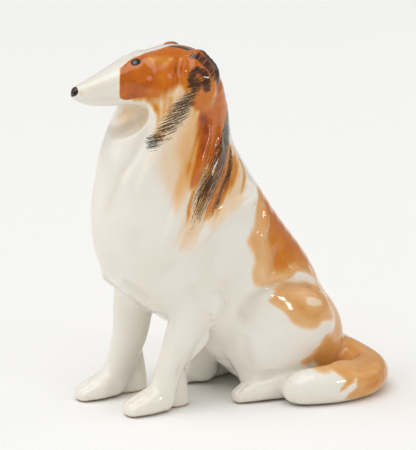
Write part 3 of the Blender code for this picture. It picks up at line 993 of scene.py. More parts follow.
@dataclass
class Head:
    """Skull, muzzle and cheeks, with the mask, the blaze and the black round the ears."""

    skull: Ball = Ball((0, -43, 184.6), (19.5, 21.5, 16.6))
    muzzle_rows: tuple = ((0, -96, 181.8, 3.2, 3.6), (0, -89, 181.4, 6, 6.4), (0, -79, 182.6, 8.3, 9),
                          (0, -67, 185, 11.5, 11.4), (0, -55, 186.2, 15, 14.2))
    cheek: tuple = ((9, -49, 183), (11, 14, 11))
    # Rows of y and half width; the blaze is blaze_lean wider on the right.
    blaze_rows: tuple = ((-80, 7), (-72, 7), (-66, 5), (-58, 3.4), (-48, 3.4), (-40, 2.8),
                         (-28, 2.2), (-16, 0.6))
    blaze_lean: float = 6.0
    mask_reach: float = 4.0     # millimetres of the mask's edge that the paint knows about

    def model(self, clay: Clay) -> None:
        """Press the head together.

        Args:
            clay: The clay to add to.
        """
        clay.add(self.skull, 9)
        clay.add(Limb(self.muzzle_rows, power=2.6), 6)
        for flank in Flank:
            (x, y, z), radii = self.cheek
            clay.add(Ball((x * flank.value, y, z), radii), 6)

    @staticmethod
    def zone() -> Callable[[Array], Array]:
        """Everything over the sloping cut across the neck."""
        height, slope, y = 168, 0.15, -62
        return lambda points: height + slope * (points[:, 1] - y) - points[:, 2]

    def folds(self) -> list[Fold]:
        """Brow, cheek, jaw and mouth.

        Returns:
            The folds.
        """
        ridge, groove = Relief.RIDGE, Relief.GROOVE
        return [
            Fold([(7, -70, 196, 2), (6, -62, 200.5, 2.5), (10, -56, 200.5, 3), (13, -48, 200, 2)],
                 ridge, 0.45),
            Fold([(9, -70, 190.5, 1.5), (12, -64, 190.5, 2.5), (15, -57, 191, 3)], groove, 0.5),
            Fold([(18, -57, 181, 3), (19.5, -50, 185, 3), (20, -45, 191, 3)], ridge, 0.6),
            Fold([(14, -62, 176.5, 2), (18, -55, 176, 3), (20, -48, 178, 3)], groove, 0.7),
            Fold([(3, -97, 179.3, 0.8), (6, -90, 178.6, 0.9), (8.2, -80, 178.6, 1), (9.6, -70, 179, 1)],
                 groove, 0.28, 0.15),
        ]

    def mask(self) -> Patch:
        """The crisp orange mask round the eyes."""
        return Patch([(-71, 197), (-74.6, 191), (-75.4, 184), (-74.6, 179), (-71, 177.4), (-66, 178.4),
                      (-60, 180.5), (-57, 185), (-52, 188), (-42, 190), (-30, 190), (-24, 200),
                      (-34, 209), (-58, 208), (-67, 202)], 0.72)

    def beside_blaze(self, points: Array, side: Array) -> Array:
        """Distance outside the white blaze along the top of the head.

        Args:
            points: Positions folded onto the left flank.
            side: Which flank each one came from, as 1 or -1.

        Returns:
            Millimetres from the edge of the blaze, negative on it.
        """
        rows = np.array(self.blaze_rows)
        half = np.interp(points[:, 1], rows[:, 0], rows[:, 1])
        return points[:, 0] - np.where(side > 0, 0.85 * half, half + self.blaze_lean)

    def mask_depth(self, points: Array, side: Array) -> Array:
        """Distance inside the mask, which stops either side of the white blaze.

        Args:
            points: Positions folded onto the left flank.
            side: Which flank each one came from, as 1 or -1.

        Returns:
            Millimetres inside the mask, cut off a little way out.
        """
        reach = self.mask_reach
        depth = np.full(len(points), -reach)
        near = (points[:, 2] > 160) & (points[:, 1] > -84)
        depth[near] = self.mask().depth(points[near])
        return np.clip(np.minimum(depth, self.beside_blaze(points, side)), -reach, reach)

    def tones(self) -> list[Paint]:
        """Density of the orange inside the mask.

        Returns:
            The colours, first one lowest.
        """
        return [
            Wash([(12, -72, 186, 9), (14, -62, 184, 10), (17, -54, 182, 9)], 0.78, 1.0, 0.01, 0.3),
            Wash([(9, -72, 180, 4), (13, -64, 178, 5), (17, -57, 177, 4)], 0.84, 1.0, 0.05, 0.2),
            Wash([(9, -60, 200, 4), (13, -54, 199, 6), (16, -44, 199, 6)], 0.52, 1.0, 0.2, 0.2),
            Wash([(14, -63, 182, 4), (17, -56, 182, 5), (18, -50, 183, 5)], 0.62, 1.0, 0.3, 0.3),
            Wash([(15, -58, 192, 4), (17, -50, 192, 4)], 0.68, 1.0, 0.3, 0.3),
            Wash([(8, -72, 193, 2), (9.5, -73, 187, 2.4), (8.5, -73, 180, 2)], 0.82, 1.0, 0.2, 0.2),
            Wash([(19, -47, 192, 5), (17, -40, 198, 6)], 0.80, 1.0, 0.1, 0.2),
            Wash([(9, -40, 203.5, 2), (14, -36, 203, 2)], 0.30, 1.0, 0.1, 0.1),
        ]

    def colours(self) -> list[Paint]:
        """The cream cheek with its loose orange hairs, and the blush by the nose.

        Returns:
            The colours, first one lowest.
        """
        return [
            Patch([(-72, 190), (-69, 179), (-62, 177.5), (-56, 177.5), (-52, 179), (-46, 184), (-38, 187),
                   (-34, 200), (-60, 200)], 0.72, 2.4, 0, 1.0, (0, -0.2, -1)),
            Patch([(-55, 178), (-50, 182), (-45, 184), (-38, 182), (-40, 174), (-46, 165), (-54, 163),
                   (-57, 170)], 0.18, 4, 0, 2, (0, -0.2, -1)),
            Wash([(16, -61, 178, 3), (18, -58, 174, 3), (19.5, -57, 169, 2)], 0.66, 1.0, 0.05, 0.3),
            Wash([(18, -57, 178, 2.2), (20, -57, 172, 2), (21, -58, 166, 1.6), (22, -60, 160, 1.2)],
                 0.50, 1.0, 0.05, 0.6),
            Wash([(20, -53, 180, 2.4), (21, -54, 173, 2), (22, -56, 165, 1.6)], 0.46, 1.0, 0.05, 0.6),
            Wash([(21, -50, 180, 2.4), (22, -51, 173, 2), (23, -53, 165, 1.5)], 0.40, 1.0, 0.1, 0.6),
            Wash([(2, -95.5, 184.5, 1.6), (3.2, -95, 182.5, 1.8), (3.4, -95, 180.5, 1.6)],
                 0.30, 1.0, 0.2, 0.2),
        ]

    def strokes(self) -> list[Bristle]:
        """Black dry-brush work over the crown and down the cheek.

        Returns:
            The strokes.
        """
        raked = (0.0, -0.94, -0.34)
        swept = (0.0, -0.8, -0.6)
        return [
            Bristle([(25, -36, 186, 4), (23, -40, 178, 5), (22, -47, 169, 6.5), (22, -54, 161, 6),
                     (22, -62, 154, 4.5)], 1.05, raked, 0.45),
            Bristle([(3, -40, 202, 1.8), (7, -34, 202, 2.6), (12, -30, 201, 2.2)], 1.9, None, 0.1),
            Bristle([(18, -35, 200, 2.5), (20, -31, 199, 3.5), (23, -28, 195, 4), (26, -25, 188, 3.5)],
                    0.85, swept, 0.1),
            Bristle([(27, -31, 183, 3), (26, -31, 190, 3.4), (23, -35, 192.5, 3), (24, -39, 188, 3),
                     (25, -38, 183, 3)], 1.15, raked, 0.1),
        ]


@dataclass
class Ear:
    """A folded ear lying along the side of the head."""

    flank: Flank
    rows: tuple = ((15, -30, 198.2, 5.8, 4), (20.5, -30, 191, 10, 4.6), (22.5, -32, 182, 9.5, 4.2),
                   (22.5, -36, 172, 7, 2.8))

    def model(self, clay: Clay) -> None:
        """Press the ear on."""
        side = self.flank.value
        clay.add(Limb([(x * side, *rest) for x, *rest in self.rows], side=(0, 1, 0)), 6)

    def zone(self) -> Callable[[Array], Array]:
        """The clay that belongs to this ear."""
        return Ball((24 * self.flank.value, -31, 189), (9, 13, 16)).distance

    @staticmethod
    def folds() -> list[Fold]:
        """The rolled front rim, the tip and the hollow under the fold.

        Returns:
            The folds.
        """
        ridge, groove = Relief.RIDGE, Relief.GROOVE
        return [
            Fold([(16, -36, 203, 1.2), (18, -39.5, 198, 1.6), (20, -41, 191, 1.8), (21.5, -41, 185, 1.6),
                  (22, -39, 178, 1.4)], ridge, 1.2, 0.15),
            Fold([(16, -39, 203, 1.5), (18, -43, 197, 2), (19.5, -45, 190, 2), (21, -44, 183, 1.8)],
                 groove, 0.8, 0.15),
            Fold([(19, -31, 201, 2), (23, -31, 196, 3), (26, -32, 189, 3)], groove, 0.5),
            Fold([(27, -27, 190, 2), (27, -27, 182, 2.5), (25, -29, 174, 2)], ridge, 0.6),
        ]

    @staticmethod
    def colours() -> list[Paint]:
        """Orange over the whole ear.

        Returns:
            The colours, first one lowest.
        """
        return [
            Patch([(-43, 196), (-44, 187), (-42, 180), (-38, 172), (-27, 170), (-18, 184), (-20, 198),
                   (-28, 208), (-38, 206)], 0.66, 1.2),
            Wash([(26, -33, 194, 5), (27, -33, 184, 5), (25, -34, 176, 4)], 0.74, 1.0, 0.2, 0.2),
            Wash([(23, -40, 184, 2.5), (24, -40, 178, 3), (23, -42, 173, 2)], 0.26, 0.9, 0.2, 0.2),
        ]

    @staticmethod
    def strokes() -> list[Bristle]:
        """The solid black back edge of the ear."""
        return [Bristle([(14, -28, 202.5, 2.2), (19, -24, 199, 4.2), (22, -22, 193, 4.6),
                         (24, -21.5, 186, 4), (24, -22, 179, 1.6)], 2.6, None, 0.3)]


@dataclass
class Foreleg:
    """A straight foreleg with its paw and the tuft behind the pastern."""

    flank: Flank
    rows: tuple
    feather_rows: tuple
    tuft: tuple
    heel_shift: float
    heel_depth: float

    def model(self, clay: Clay) -> None:
        """Press the leg, its paw and its heel tuft on.

        Args:
            clay: The clay to add to.
        """
        x, y, _, _, _ = self.rows[-1]
        heel = x + self.heel_shift
        clay.add(Limb(self.rows), 7)
        clay.add(Limb([(x, y - 2, 8, 8, 8.5), (x, y - 11, 6, 9, 6.8), (x, y - 20.5, 4.2, 7.3, 4.6)],
                      steps=3), 5)
        deep = self.heel_depth
        clay.add(Limb([(heel, y + deep + 2, 32, 3, deep - 4), (heel, y + deep + 2, 18, 4.4, deep - 1.6),
                       (heel, y + deep + 2, 6, 5, deep), (heel, y + deep + 2, -4, 5.2, deep)],
                      steps=3), 3)

    def dress(self, clay: Clay) -> None:
        """Press the feather behind the leg on."""
        clay.add(Limb(self.feather_rows, steps=3), 3)

    def zone(self) -> Callable[[Array], Array]:
        """The leg below the seam inside the mane.

        Returns:
            A function that is negative over this leg.
        """
        inside, back, height = 2, -28, 42
        side = self.flank.value
        return lambda points: np.maximum.reduce(
            [inside - side * points[:, 0], points[:, 1] - back, points[:, 2] - height])

    def folds(self) -> list[Fold]:
        """Toes, the hollow beside the tendon and the flutes of the heel tuft.

        Returns:
            The folds.
        """
        x, y, _, _, _ = self.rows[-1]
        side = self.flank.value
        tip = y - 22.5
        groove = Relief.GROOVE
        toes = [Fold([(x + shift, tip + 8, 11, 0.9), (x + shift * 1.1, tip + 1, 8.5, 1.1),
                      (x + shift * 1.15, tip - 2, 4, 0.9)], groove, 0.5, 0.3)
                for shift in (-4.2, 0.2, 4.4)]
        shin = Fold([(x + 5 * side, y + 16, 44, 3), (x + 6 * side, y + 8, 30, 3),
                     (x + 6 * side, y + 4, 17, 2)], groove, 0.9)
        flutes = [Fold([(x + 3 * side, y + back, 24, 1), (x + 3.5 * side, y + back, 12, 1.3),
                        (x + 3.5 * side, y + back, 1, 1.2)], groove, 0.9, 0.15) for back in (4, 8.5, 13)]
        return [*toes, shin, *flutes]


@dataclass
class HindLeg:
    """Thigh, shin and hind foot of a sitting dog."""

    flank: Flank
    forward: tuple[float, float, float] = (0, 0, 0)
    reach: float = 0.0

    def model(self, clay: Clay) -> None:
        """Press the hind leg on.

        Args:
            clay: The clay to add to.
        """
        s = self.flank.value
        top, middle, low = self.forward
        clay.add(Ball((20 * s, 22, 38), (18.5, 33, 30)), 5)
        clay.add(Limb([(15 * s, -2 - top, 34, 8, 12), (16 * s, 4 - middle, 20, 8, 10),
                       (19 * s, 6 - low, 9, 8, 9)], steps=3), 5)
        clay.add(Limb([(31 * s, 28, 8, 7.5, 8), (27.5 * s, 12, 9, 8, 9),
                       (25 * s, -1 - self.reach / 2, 6.4, 7.4, 6.4),
                       (23.5 * s, -8 - self.reach, 4.2, 5.8, 4.2)], steps=3), 4)

    def zone(self) -> Callable[[Array], Array]:
        """The clay that belongs to this leg.

        Returns:
            A function that is negative over this leg.
        """
        s = self.flank.value
        thigh = Ball((38.5 * s, 22, 31), (20, 41, 42))
        foot = Limb([(30 * s, 30, 9, 14, 13), (29 * s, 6, 8, 13, 12),
                     (28 * s, -3 - self.forward[2], 6, 13, 11)])
        return lambda points: np.minimum(thigh.distance(points), foot.distance(points))

    def folds(self) -> list[Fold]:
        """Toes, the crease over the foot and the edge of the thigh.

        Returns:
            The folds.
        """
        s = self.flank.value
        groove = Relief.GROOVE
        toes = [Fold([(x * s, -3, 12.5, 0.9), (x * s, -9, 9, 1.1), (x * s, -12.5, 4, 0.9)],
                     groove, 0.5, 0.3) for x in (18.8, 22.6, 26.4)]
        return [*toes,
                Fold([(30 * s, 24, 17, 2), (31 * s, 10, 16, 2.5), (29 * s, -1, 15, 2)], groove, 1.0),
                Fold([(29 * s, -9, 42, 3), (29 * s, -8, 28, 4), (28 * s, -3, 17, 3)], groove, 0.8)]


@dataclass
class Tail:
    """The brush of the tail, lying round the left side with its white tip forward."""

    rows: tuple = ((0, 54, 22, 12, 13), (12, 68, 14, 10.8, 13), (30, 71.5, 10, 10.2, 13.5),
                   (44, 60, 9.6, 10.6, 13), (47.5, 41, 10, 11, 12), (45, 23, 10, 10, 10),
                   (43, 17, 9, 7.5, 7.5))

    def model(self, clay: Clay) -> None:
        """Press the tail on."""
        clay.add(Limb(self.rows, side=(0, 0, 1)), 5)

    @staticmethod
    def zone() -> Callable[[Array], Array]:
        """The clay that belongs to the tail."""
        return Limb([(14, 70, 14, 18, 17), (30, 71.5, 10, 16, 17), (44, 60, 9, 16, 16.5),
                     (48.5, 40, 9, 14.5, 14.5), (47, 22, 9, 13, 12.5), (45, 15, 9, 11, 10.5)],
                    side=(0, 0, 1)).distance

    @staticmethod
    def folds() -> list[Fold]:
        """Long locks of hair round the tail.

        Returns:
            The folds.
        """
        return [
            Fold([(20, 81, 22, 2), (37, 74, 22, 3), (50, 59, 19, 3), (55, 43, 15, 2)],
                 Relief.GROOVE, 0.8),
            Fold([(22, 63, 28, 2), (34, 60, 26, 3), (44, 48, 22, 3), (49, 34, 20, 2)],
                 Relief.RIDGE, 0.8),
            Fold([(30, 83, 12, 2), (46, 73, 10, 3), (57, 56, 8, 3), (58, 44, 7, 2)],
                 Relief.GROOVE, 0.6),
            Fold([(30, 56, 24, 2.5), (36, 46, 20, 3), (37, 36, 16, 3), (36, 28, 12, 2)],
                 Relief.GROOVE, 1.0),
        ]

    @staticmethod
    def colours() -> list[Paint]:
        """Orange up to the zigzag where the white tip begins.

        Returns:
            The colours, first one lowest.
        """
        return [
            Patch([(35, 24), (37, 19), (41, 15), (38, 12), (37, 9), (42, 11), (48, 15), (47, 10),
                   (42, 6), (44, 3), (60, 1), (90, 1), (96, 20), (84, 44), (60, 42), (46, 31)],
                  0.42, 1.5, 14, 0.5, (0, 1, -0.2)),
            Wash([(48, 30, 8, 4), (54, 40, 10, 5), (52, 52, 14, 5)], 0.66, 1.0, 0.3, 0.3),
            Wash([(20, 66, 24, 4), (32, 66, 21, 4), (42, 56, 20, 4)], 0.60, 1.0, 0.3, 0.3),
            Wash([(34, 79, 12, 6), (50, 68, 10, 7), (58, 52, 9, 5)], 0.60, 1.0, 0.3, 0.3),
            Wash([(30, 82, 4, 4), (48, 74, 3, 4), (58, 56, 2, 4), (58, 42, 2, 3)], 0.22, 0.9, 0.1, 0.1),
            Wash([(40, 62, 25, 3), (47, 52, 22, 3), (50, 42, 20, 2)], 0.40, 0.9, 0.2, 0.2),
        ]


@dataclass
class Eye:
    """A raised drop of enamel with a grey-blue centre."""

    flank: Flank
    centre: tuple[float, float, float] = (7.6, -64.2, 197.0)
    radii: tuple[float, float, float] = (2.3, 2.9, 1.8)
    turn: tuple[float, float, float] = (18, 22, 0)
    step: float = 0.28
    sink: tuple[float, float, float] = (-0.6, 0.0, -1.0)
    gaze: tuple[float, float, float] = (0.8, -0.5, 0.35)

    def place(self) -> tuple[float, float, float]:
        """Where the drop sits; the right one was set a little deeper.

        Returns:
            Its centre.
        """
        x, y, z = self.centre
        if self.flank is Flank.RIGHT:
            x, y, z = x + self.sink[0], y + self.sink[1], z + self.sink[2]
        return x * self.flank.value, y, z

    def build(self) -> Skin:
        """Make the drop.

        Returns:
            Its surface, with a column that grows from the middle of the iris outward.
        """
        side = self.flank.value
        tilt_x, tilt_y, tilt_z = self.turn
        drop = Ball(self.place(), self.radii, (tilt_x, tilt_y * side, tilt_z * side))
        clay = Clay([(drop, 0, 1)])
        low, high = drop.box
        verts, quads = net(sample_grid(clay, low - 1, high + 1, self.step), low - 1, self.step)
        for _ in range(2):
            verts = settle(clay, relax(verts, quads))
        local = (verts - np.array(drop.centre)) @ drop.axes / np.array(self.radii)
        x, y, z = self.gaze
        gaze = unit(np.array(self.radii) * (np.array((x * side, y, z)) @ drop.axes))
        iris = np.linalg.norm(unit(local) - gaze, axis=1)
        triangles = np.vstack([quads[:, [0, 1, 2]], quads[:, [0, 2, 3]]])
        return Skin(verts, triangles, vertex_normals(verts, quads), {"iris": iris})


@dataclass
class Collie:
    """The whole figurine: its clay, its paint and the pieces it is luted from."""

    step: float = 1.7
    torso: Torso = field(default_factory=Torso)
    head: Head = field(default_factory=Head)
    tail: Tail = field(default_factory=Tail)
    ears: dict[str, Ear] = field(default_factory=lambda: {
        "left_ear": Ear(Flank.LEFT), "right_ear": Ear(Flank.RIGHT)})
    hind_legs: dict[str, HindLeg] = field(default_factory=lambda: {
        "left_hind_leg": HindLeg(Flank.LEFT), "right_hind_leg": HindLeg(Flank.RIGHT, (8, 13, 13), 9.0)})
    forelegs: dict[str, Foreleg] = field(default_factory=lambda: {
        "left_foreleg": Foreleg(
            Flank.LEFT,
            ((19, -28, 78, 12, 16), (18.5, -35, 58, 10.5, 12.5), (17, -42, 40, 8.5, 9.7),
             (15.5, -47.5, 26, 7, 7.6), (14.5, -51.5, 14, 7.2, 7.6)),
            ((24, -25, 68, 4, 6), (24, -25.5, 58, 3.6, 8), (21, -31, 47, 3, 5), (20, -32, 41, 3, 6.4),
             (17, -38, 32, 3, 5.5), (14, -41, 25, 3, 4)),
            (27, -26, 61), -4.5, 8.0),
        "right_foreleg": Foreleg(
            Flank.RIGHT,
            ((-19, -46, 76, 12, 15), (-20, -51, 58, 10.5, 12.5), (-21.5, -53, 38, 8.5, 10.7),
             (-23, -57.5, 22, 7, 9), (-24, -62, 12, 7.5, 8)),
            ((-22, -40, 68, 4, 7), (-23, -43, 54, 3.2, 8), (-21.5, -47, 42, 3, 6),
             (-20, -50, 31, 3, 4)),
            (-27, -38, 62), -2.5, 9.8)})
    tuft_radii: tuple[float, float, float] = (4.5, 5.5, 9)
    nose: Ball = Ball((0, -98.3, 183.1), (3.5, 3.3, 2.9))
    margin: float = 4.0             # room left round the clay when it is measured
    mask_tone: float = 0.74         # density of the mask before its own tones
    dry: float = -2.0               # load of black where no bristle reaches
    right_seed: float = 40.0        # sets the right flank's hairs apart from the left one's

    def clay(self) -> Clay:
        """Press every mass on in turn.

        Returns:
            The clay of the whole dog.
        """
        clay = Clay()
        self.torso.model(clay)
        for leg in (*self.hind_legs.values(), *self.forelegs.values()):
            leg.model(clay)
        for leg in self.forelegs.values():
            leg.dress(clay)
        for leg in self.forelegs.values():
            clay.add(Ball(leg.tuft, self.tuft_radii), 3)
        self.tail.model(clay)
        self.head.model(clay)
        for ear in self.ears.values():
            ear.model(clay)
        return clay

    def lift(self, points: Array, normals: Array) -> Array:
        """How far the modelling tool raised the surface at each point.

        Args:
            points: Positions on the surface.
            normals: Outward directions at those positions.

        Returns:
            Heights, negative where the clay is pressed in.
        """
        folded, flipped = mirrored_places(points), normals.copy()
        flipped[:, 0] *= np.where(points[:, 0] < 0, -1, 1)
        paired = [*self.torso.folds(), *self.head.folds(), *Ear.folds()]
        single = self.tail.folds()
        for leg in (*self.forelegs.values(), *self.hind_legs.values()):
            single += leg.folds()
        total = sum(fold.lift(folded, flipped) for fold in paired)
        return total + sum(fold.lift(points, normals) for fold in single)

    def paint(self, points: Array, normals: Array) -> dict[str, Array]:
        """Lay the colours over the surface.

        Args:
            points: Positions on the surface.
            normals: Outward directions at those positions.

        Returns:
            Columns of numbers that the glaze reads.
        """
        folded, flipped = mirrored_places(points), normals.copy()
        flipped[:, 0] *= np.where(points[:, 0] < 0, -1, 1)

        def laid(layers: Iterable[Paint], base: Array, at: Array, facing: Array) -> Array:
            """Lay paints one over another.

            Args:
                layers: The paints, first one lowest.
                base: Density before them.
                at: Positions on the surface.
                facing: Outward directions at those positions.

            Returns:
                Density after them.
            """
            for layer in layers:
                cover = layer.cover(at, facing)
                base = base * (1 - cover) + layer.density * cover
            return base

        wash = np.zeros(len(points))
        wash = laid(self.torso.colours(), wash, folded, flipped)
        wash = laid(self.tail.colours(), wash, points, normals)
        wash = laid([*self.head.colours(), *Ear.colours()], wash, folded, flipped)
        side = np.where(points[:, 0] < 0, -1, 1)
        on_head = (points[:, 2] > 188) & (points[:, 1] < -18)
        wash *= np.where(on_head, ramp(self.head.beside_blaze(folded, side), -1.5, 1.5), 1)
        tone = laid(self.head.tones(), np.full(len(points), self.mask_tone), folded, flipped)
        load = np.full(len(points), self.dry)
        hair = np.zeros((len(points), 3))
        hair[:, 2] = np.where(points[:, 0] < 0, self.right_seed, 0.0)
        for stroke in (*self.torso.strokes(), *self.head.strokes(), *Ear.strokes()):
            near = np.flatnonzero(stroke.near(folded, 6))
            found, along, across = stroke.hairs(folded[near], flipped[near])
            better = found > load[near]
            chosen = near[better]
            load[chosen] = found[better]
            hair[chosen, 0], hair[chosen, 1] = along[better], across[better]
        rim = 1 - ramp(points[:, 2], 0.5, 1.5)
        return {"wash": wash, "mask": self.head.mask_depth(folded, side), "tone": tone,
                "brush": load, "hair": hair, "rim": rim}

    def skin(self) -> Skin:
        """Make the finished surface in one piece.

        Returns:
            The surface with its columns of paint.
        """
        clay = self.clay()
        corners = [solid.box for solid, _, _ in clay.lumps]
        low = np.min([box[0] for box in corners], axis=0) - self.margin
        high = np.max([box[1] for box in corners], axis=0) + self.margin
        low[2] = -self.margin
        verts, quads = net(sample_grid(clay, low, high, self.step), low, self.step)
        for _ in range(2):
            verts = settle(clay, relax(verts, quads))
        verts, quads = refine(verts, quads)
        verts = settle(clay, relax(verts, quads, 0.35))
        normals = unit(clay.slope(verts))
        lift = self.lift(verts, normals) * ramp(verts[:, 2], 0.2, 3)
        verts = verts + lift[:, None] * normals
        verts[:, 2] = np.maximum(verts[:, 2], 0)
        columns = self.paint(verts, normals)
        # depth of each groove; the glaze tints grooves darker by it, partly as pooled glaze and partly as
        # painted shade
        columns["pool"] = np.clip(-lift, 0, 1.5)
        triangles = np.vstack([quads[:, [0, 1, 2]], quads[:, [0, 2, 3]]])
        return Skin(verts, triangles, vertex_normals(verts, quads), columns)

    def pieces(self) -> dict[str, Skin]:
        """Part the surface along the seams between the castings.

        Returns:
            Each casting's surface, by the name of the casting.
        """
        rest = self.skin()
        found: dict[str, Skin] = {}
        cuts = {"tail": self.tail.zone()}
        for parts in (self.hind_legs, self.forelegs, self.ears):
            cuts.update({name: part.zone() for name, part in parts.items()})
        cuts["nose_cap"] = self.nose.distance
        cuts["head_shell"] = self.head.zone()
        for name, zone in cuts.items():
            found[name], rest = rest.split(zone(rest.points))
        found["torso_shell"] = rest
        return found


# ------------------------------------------------------------ shading ----

IOR = 1.52      # of glaze and enamel alike


def srgb(red: int, green: int, blue: int) -> tuple[float, float, float, float]:
    """A display colour from 0 to 255 as linear light."""
    channels = [c / 255 for c in (red, green, blue)]
    return (*(c / 12.92 if c <= 0.04045 else ((c + 0.055) / 1.055) ** 2.4 for c in channels), 1.0)


@dataclass
class Value:
    """A number on a socket; arithmetic on it adds Math nodes."""

    shader: "Shader"
    socket: bpy.types.NodeSocket

    def maths(self, operation: str, *terms: "Value | float", clamp: bool = False) -> "Value":
        """Add a Math node over some terms."""
        node = self.shader.node("ShaderNodeMath", {"operation": operation, "use_clamp": clamp},
                                {i: term for i, term in enumerate(terms)})
        return Value(self.shader, node.outputs[0])

    def __add__(self, other: "Value | float") -> "Value":
        """Sum."""
        return self.maths("ADD", self, other)

    __radd__ = __add__

    def __mul__(self, other: "Value | float") -> "Value":
        """Product."""
        return self.maths("MULTIPLY", self, other)

    __rmul__ = __mul__

    def __sub__(self, other: "Value | float") -> "Value":
        """Difference."""
        return self.maths("SUBTRACT", self, other)

    def __rsub__(self, other: "Value | float") -> "Value":
        """Difference from a number."""
        return self.maths("SUBTRACT", other, self)

    def clamped(self) -> "Value":
        """Held between 0 and 1."""
        return self.maths("ADD", self, 0.0, clamp=True)


class Shader:
    """A material's node tree."""

    def __init__(self, name: str) -> None:
        """Start an empty material.

        Args:
            name: The material's name.
        """
        self.material = bpy.data.materials.new(name)
        self.material.use_nodes = True
        self.tree = self.material.node_tree
        self.tree.nodes.clear()

    def node(self, kind: str, settings: dict | None = None, inputs: dict | None = None) -> bpy.types.Node:
        """Add a node.

        Args:
            kind: The node's type name.
            settings: Properties, set before the sockets; a ramp's stops go under "stops".
            inputs: Values, sockets or wrapped values for its inputs, by name or number.

        Returns:
            The new node.
        """
        node = self.tree.nodes.new(kind)
        for name, value in (settings or {}).items():
            if name == "stops":
                while len(node.color_ramp.elements) < len(value):
                    node.color_ramp.elements.new(1.0)
                for element, (place, colour) in zip(node.color_ramp.elements, value):
                    element.position, element.color = place, colour
            else:
                setattr(node, name, value)
        for key, value in (inputs or {}).items():
            if isinstance(value, Value):
                value = value.socket
            if isinstance(value, bpy.types.NodeSocket):
                self.tree.links.new(value, node.inputs[key])
            else:
                node.inputs[key].default_value = value
        return node

    def attribute(self, name: str) -> Value:
        """A column of the mesh."""
        return Value(self, self.node("ShaderNodeAttribute", {"attribute_name": name}).outputs["Fac"])

    def scaled(self, vector: bpy.types.NodeSocket,
               factors: tuple[float, float, float]) -> bpy.types.NodeSocket:
        """A vector stretched along its axes."""
        node = self.node("ShaderNodeVectorMath", {"operation": "MULTIPLY"}, {0: vector, 1: factors})
        return node.outputs[0]

    def noise(self, vector: bpy.types.NodeSocket, scale: float, detail: float = 2.0) -> Value:
        """Smooth noise round one half."""
        node = self.node("ShaderNodeTexNoise", {}, {"Vector": vector, "Scale": scale, "Detail": detail})
        return Value(self, node.outputs["Fac"])

    def ramp(self, value: Value, stops: Sequence[tuple[float, tuple]]) -> bpy.types.NodeSocket:
        """Colours along a value."""
        return self.node("ShaderNodeValToRGB", {"stops": stops}, {0: value}).outputs["Color"]

    def mix(self, share: Value, first: object, second: object) -> bpy.types.NodeSocket:
        """Blend two colours."""
        node = self.node("ShaderNodeMix", {"data_type": "RGBA"}, {"Factor": share, 6: first, 7: second})
        return node.outputs[2]

    def bump(self, height: Value, depth: float) -> bpy.types.NodeSocket:
        """Surface direction from a height in metres."""
        node = self.node("ShaderNodeBump", {}, {"Height": height, "Distance": depth, "Strength": 1.0})
        return node.outputs["Normal"]

    def finish(self, **sockets: object) -> bpy.types.Material:
        """Feed the surface shader.

        Args:
            sockets: Values or links by socket name, with underscores for spaces.

        Returns:
            The finished material.
        """
        inputs = {name.replace("_", " "): value for name, value in sockets.items()}
        surface = self.node("ShaderNodeBsdfPrincipled", {}, inputs)
        self.node("ShaderNodeOutputMaterial", {}, {"Surface": surface.outputs[0]})
        return self.material


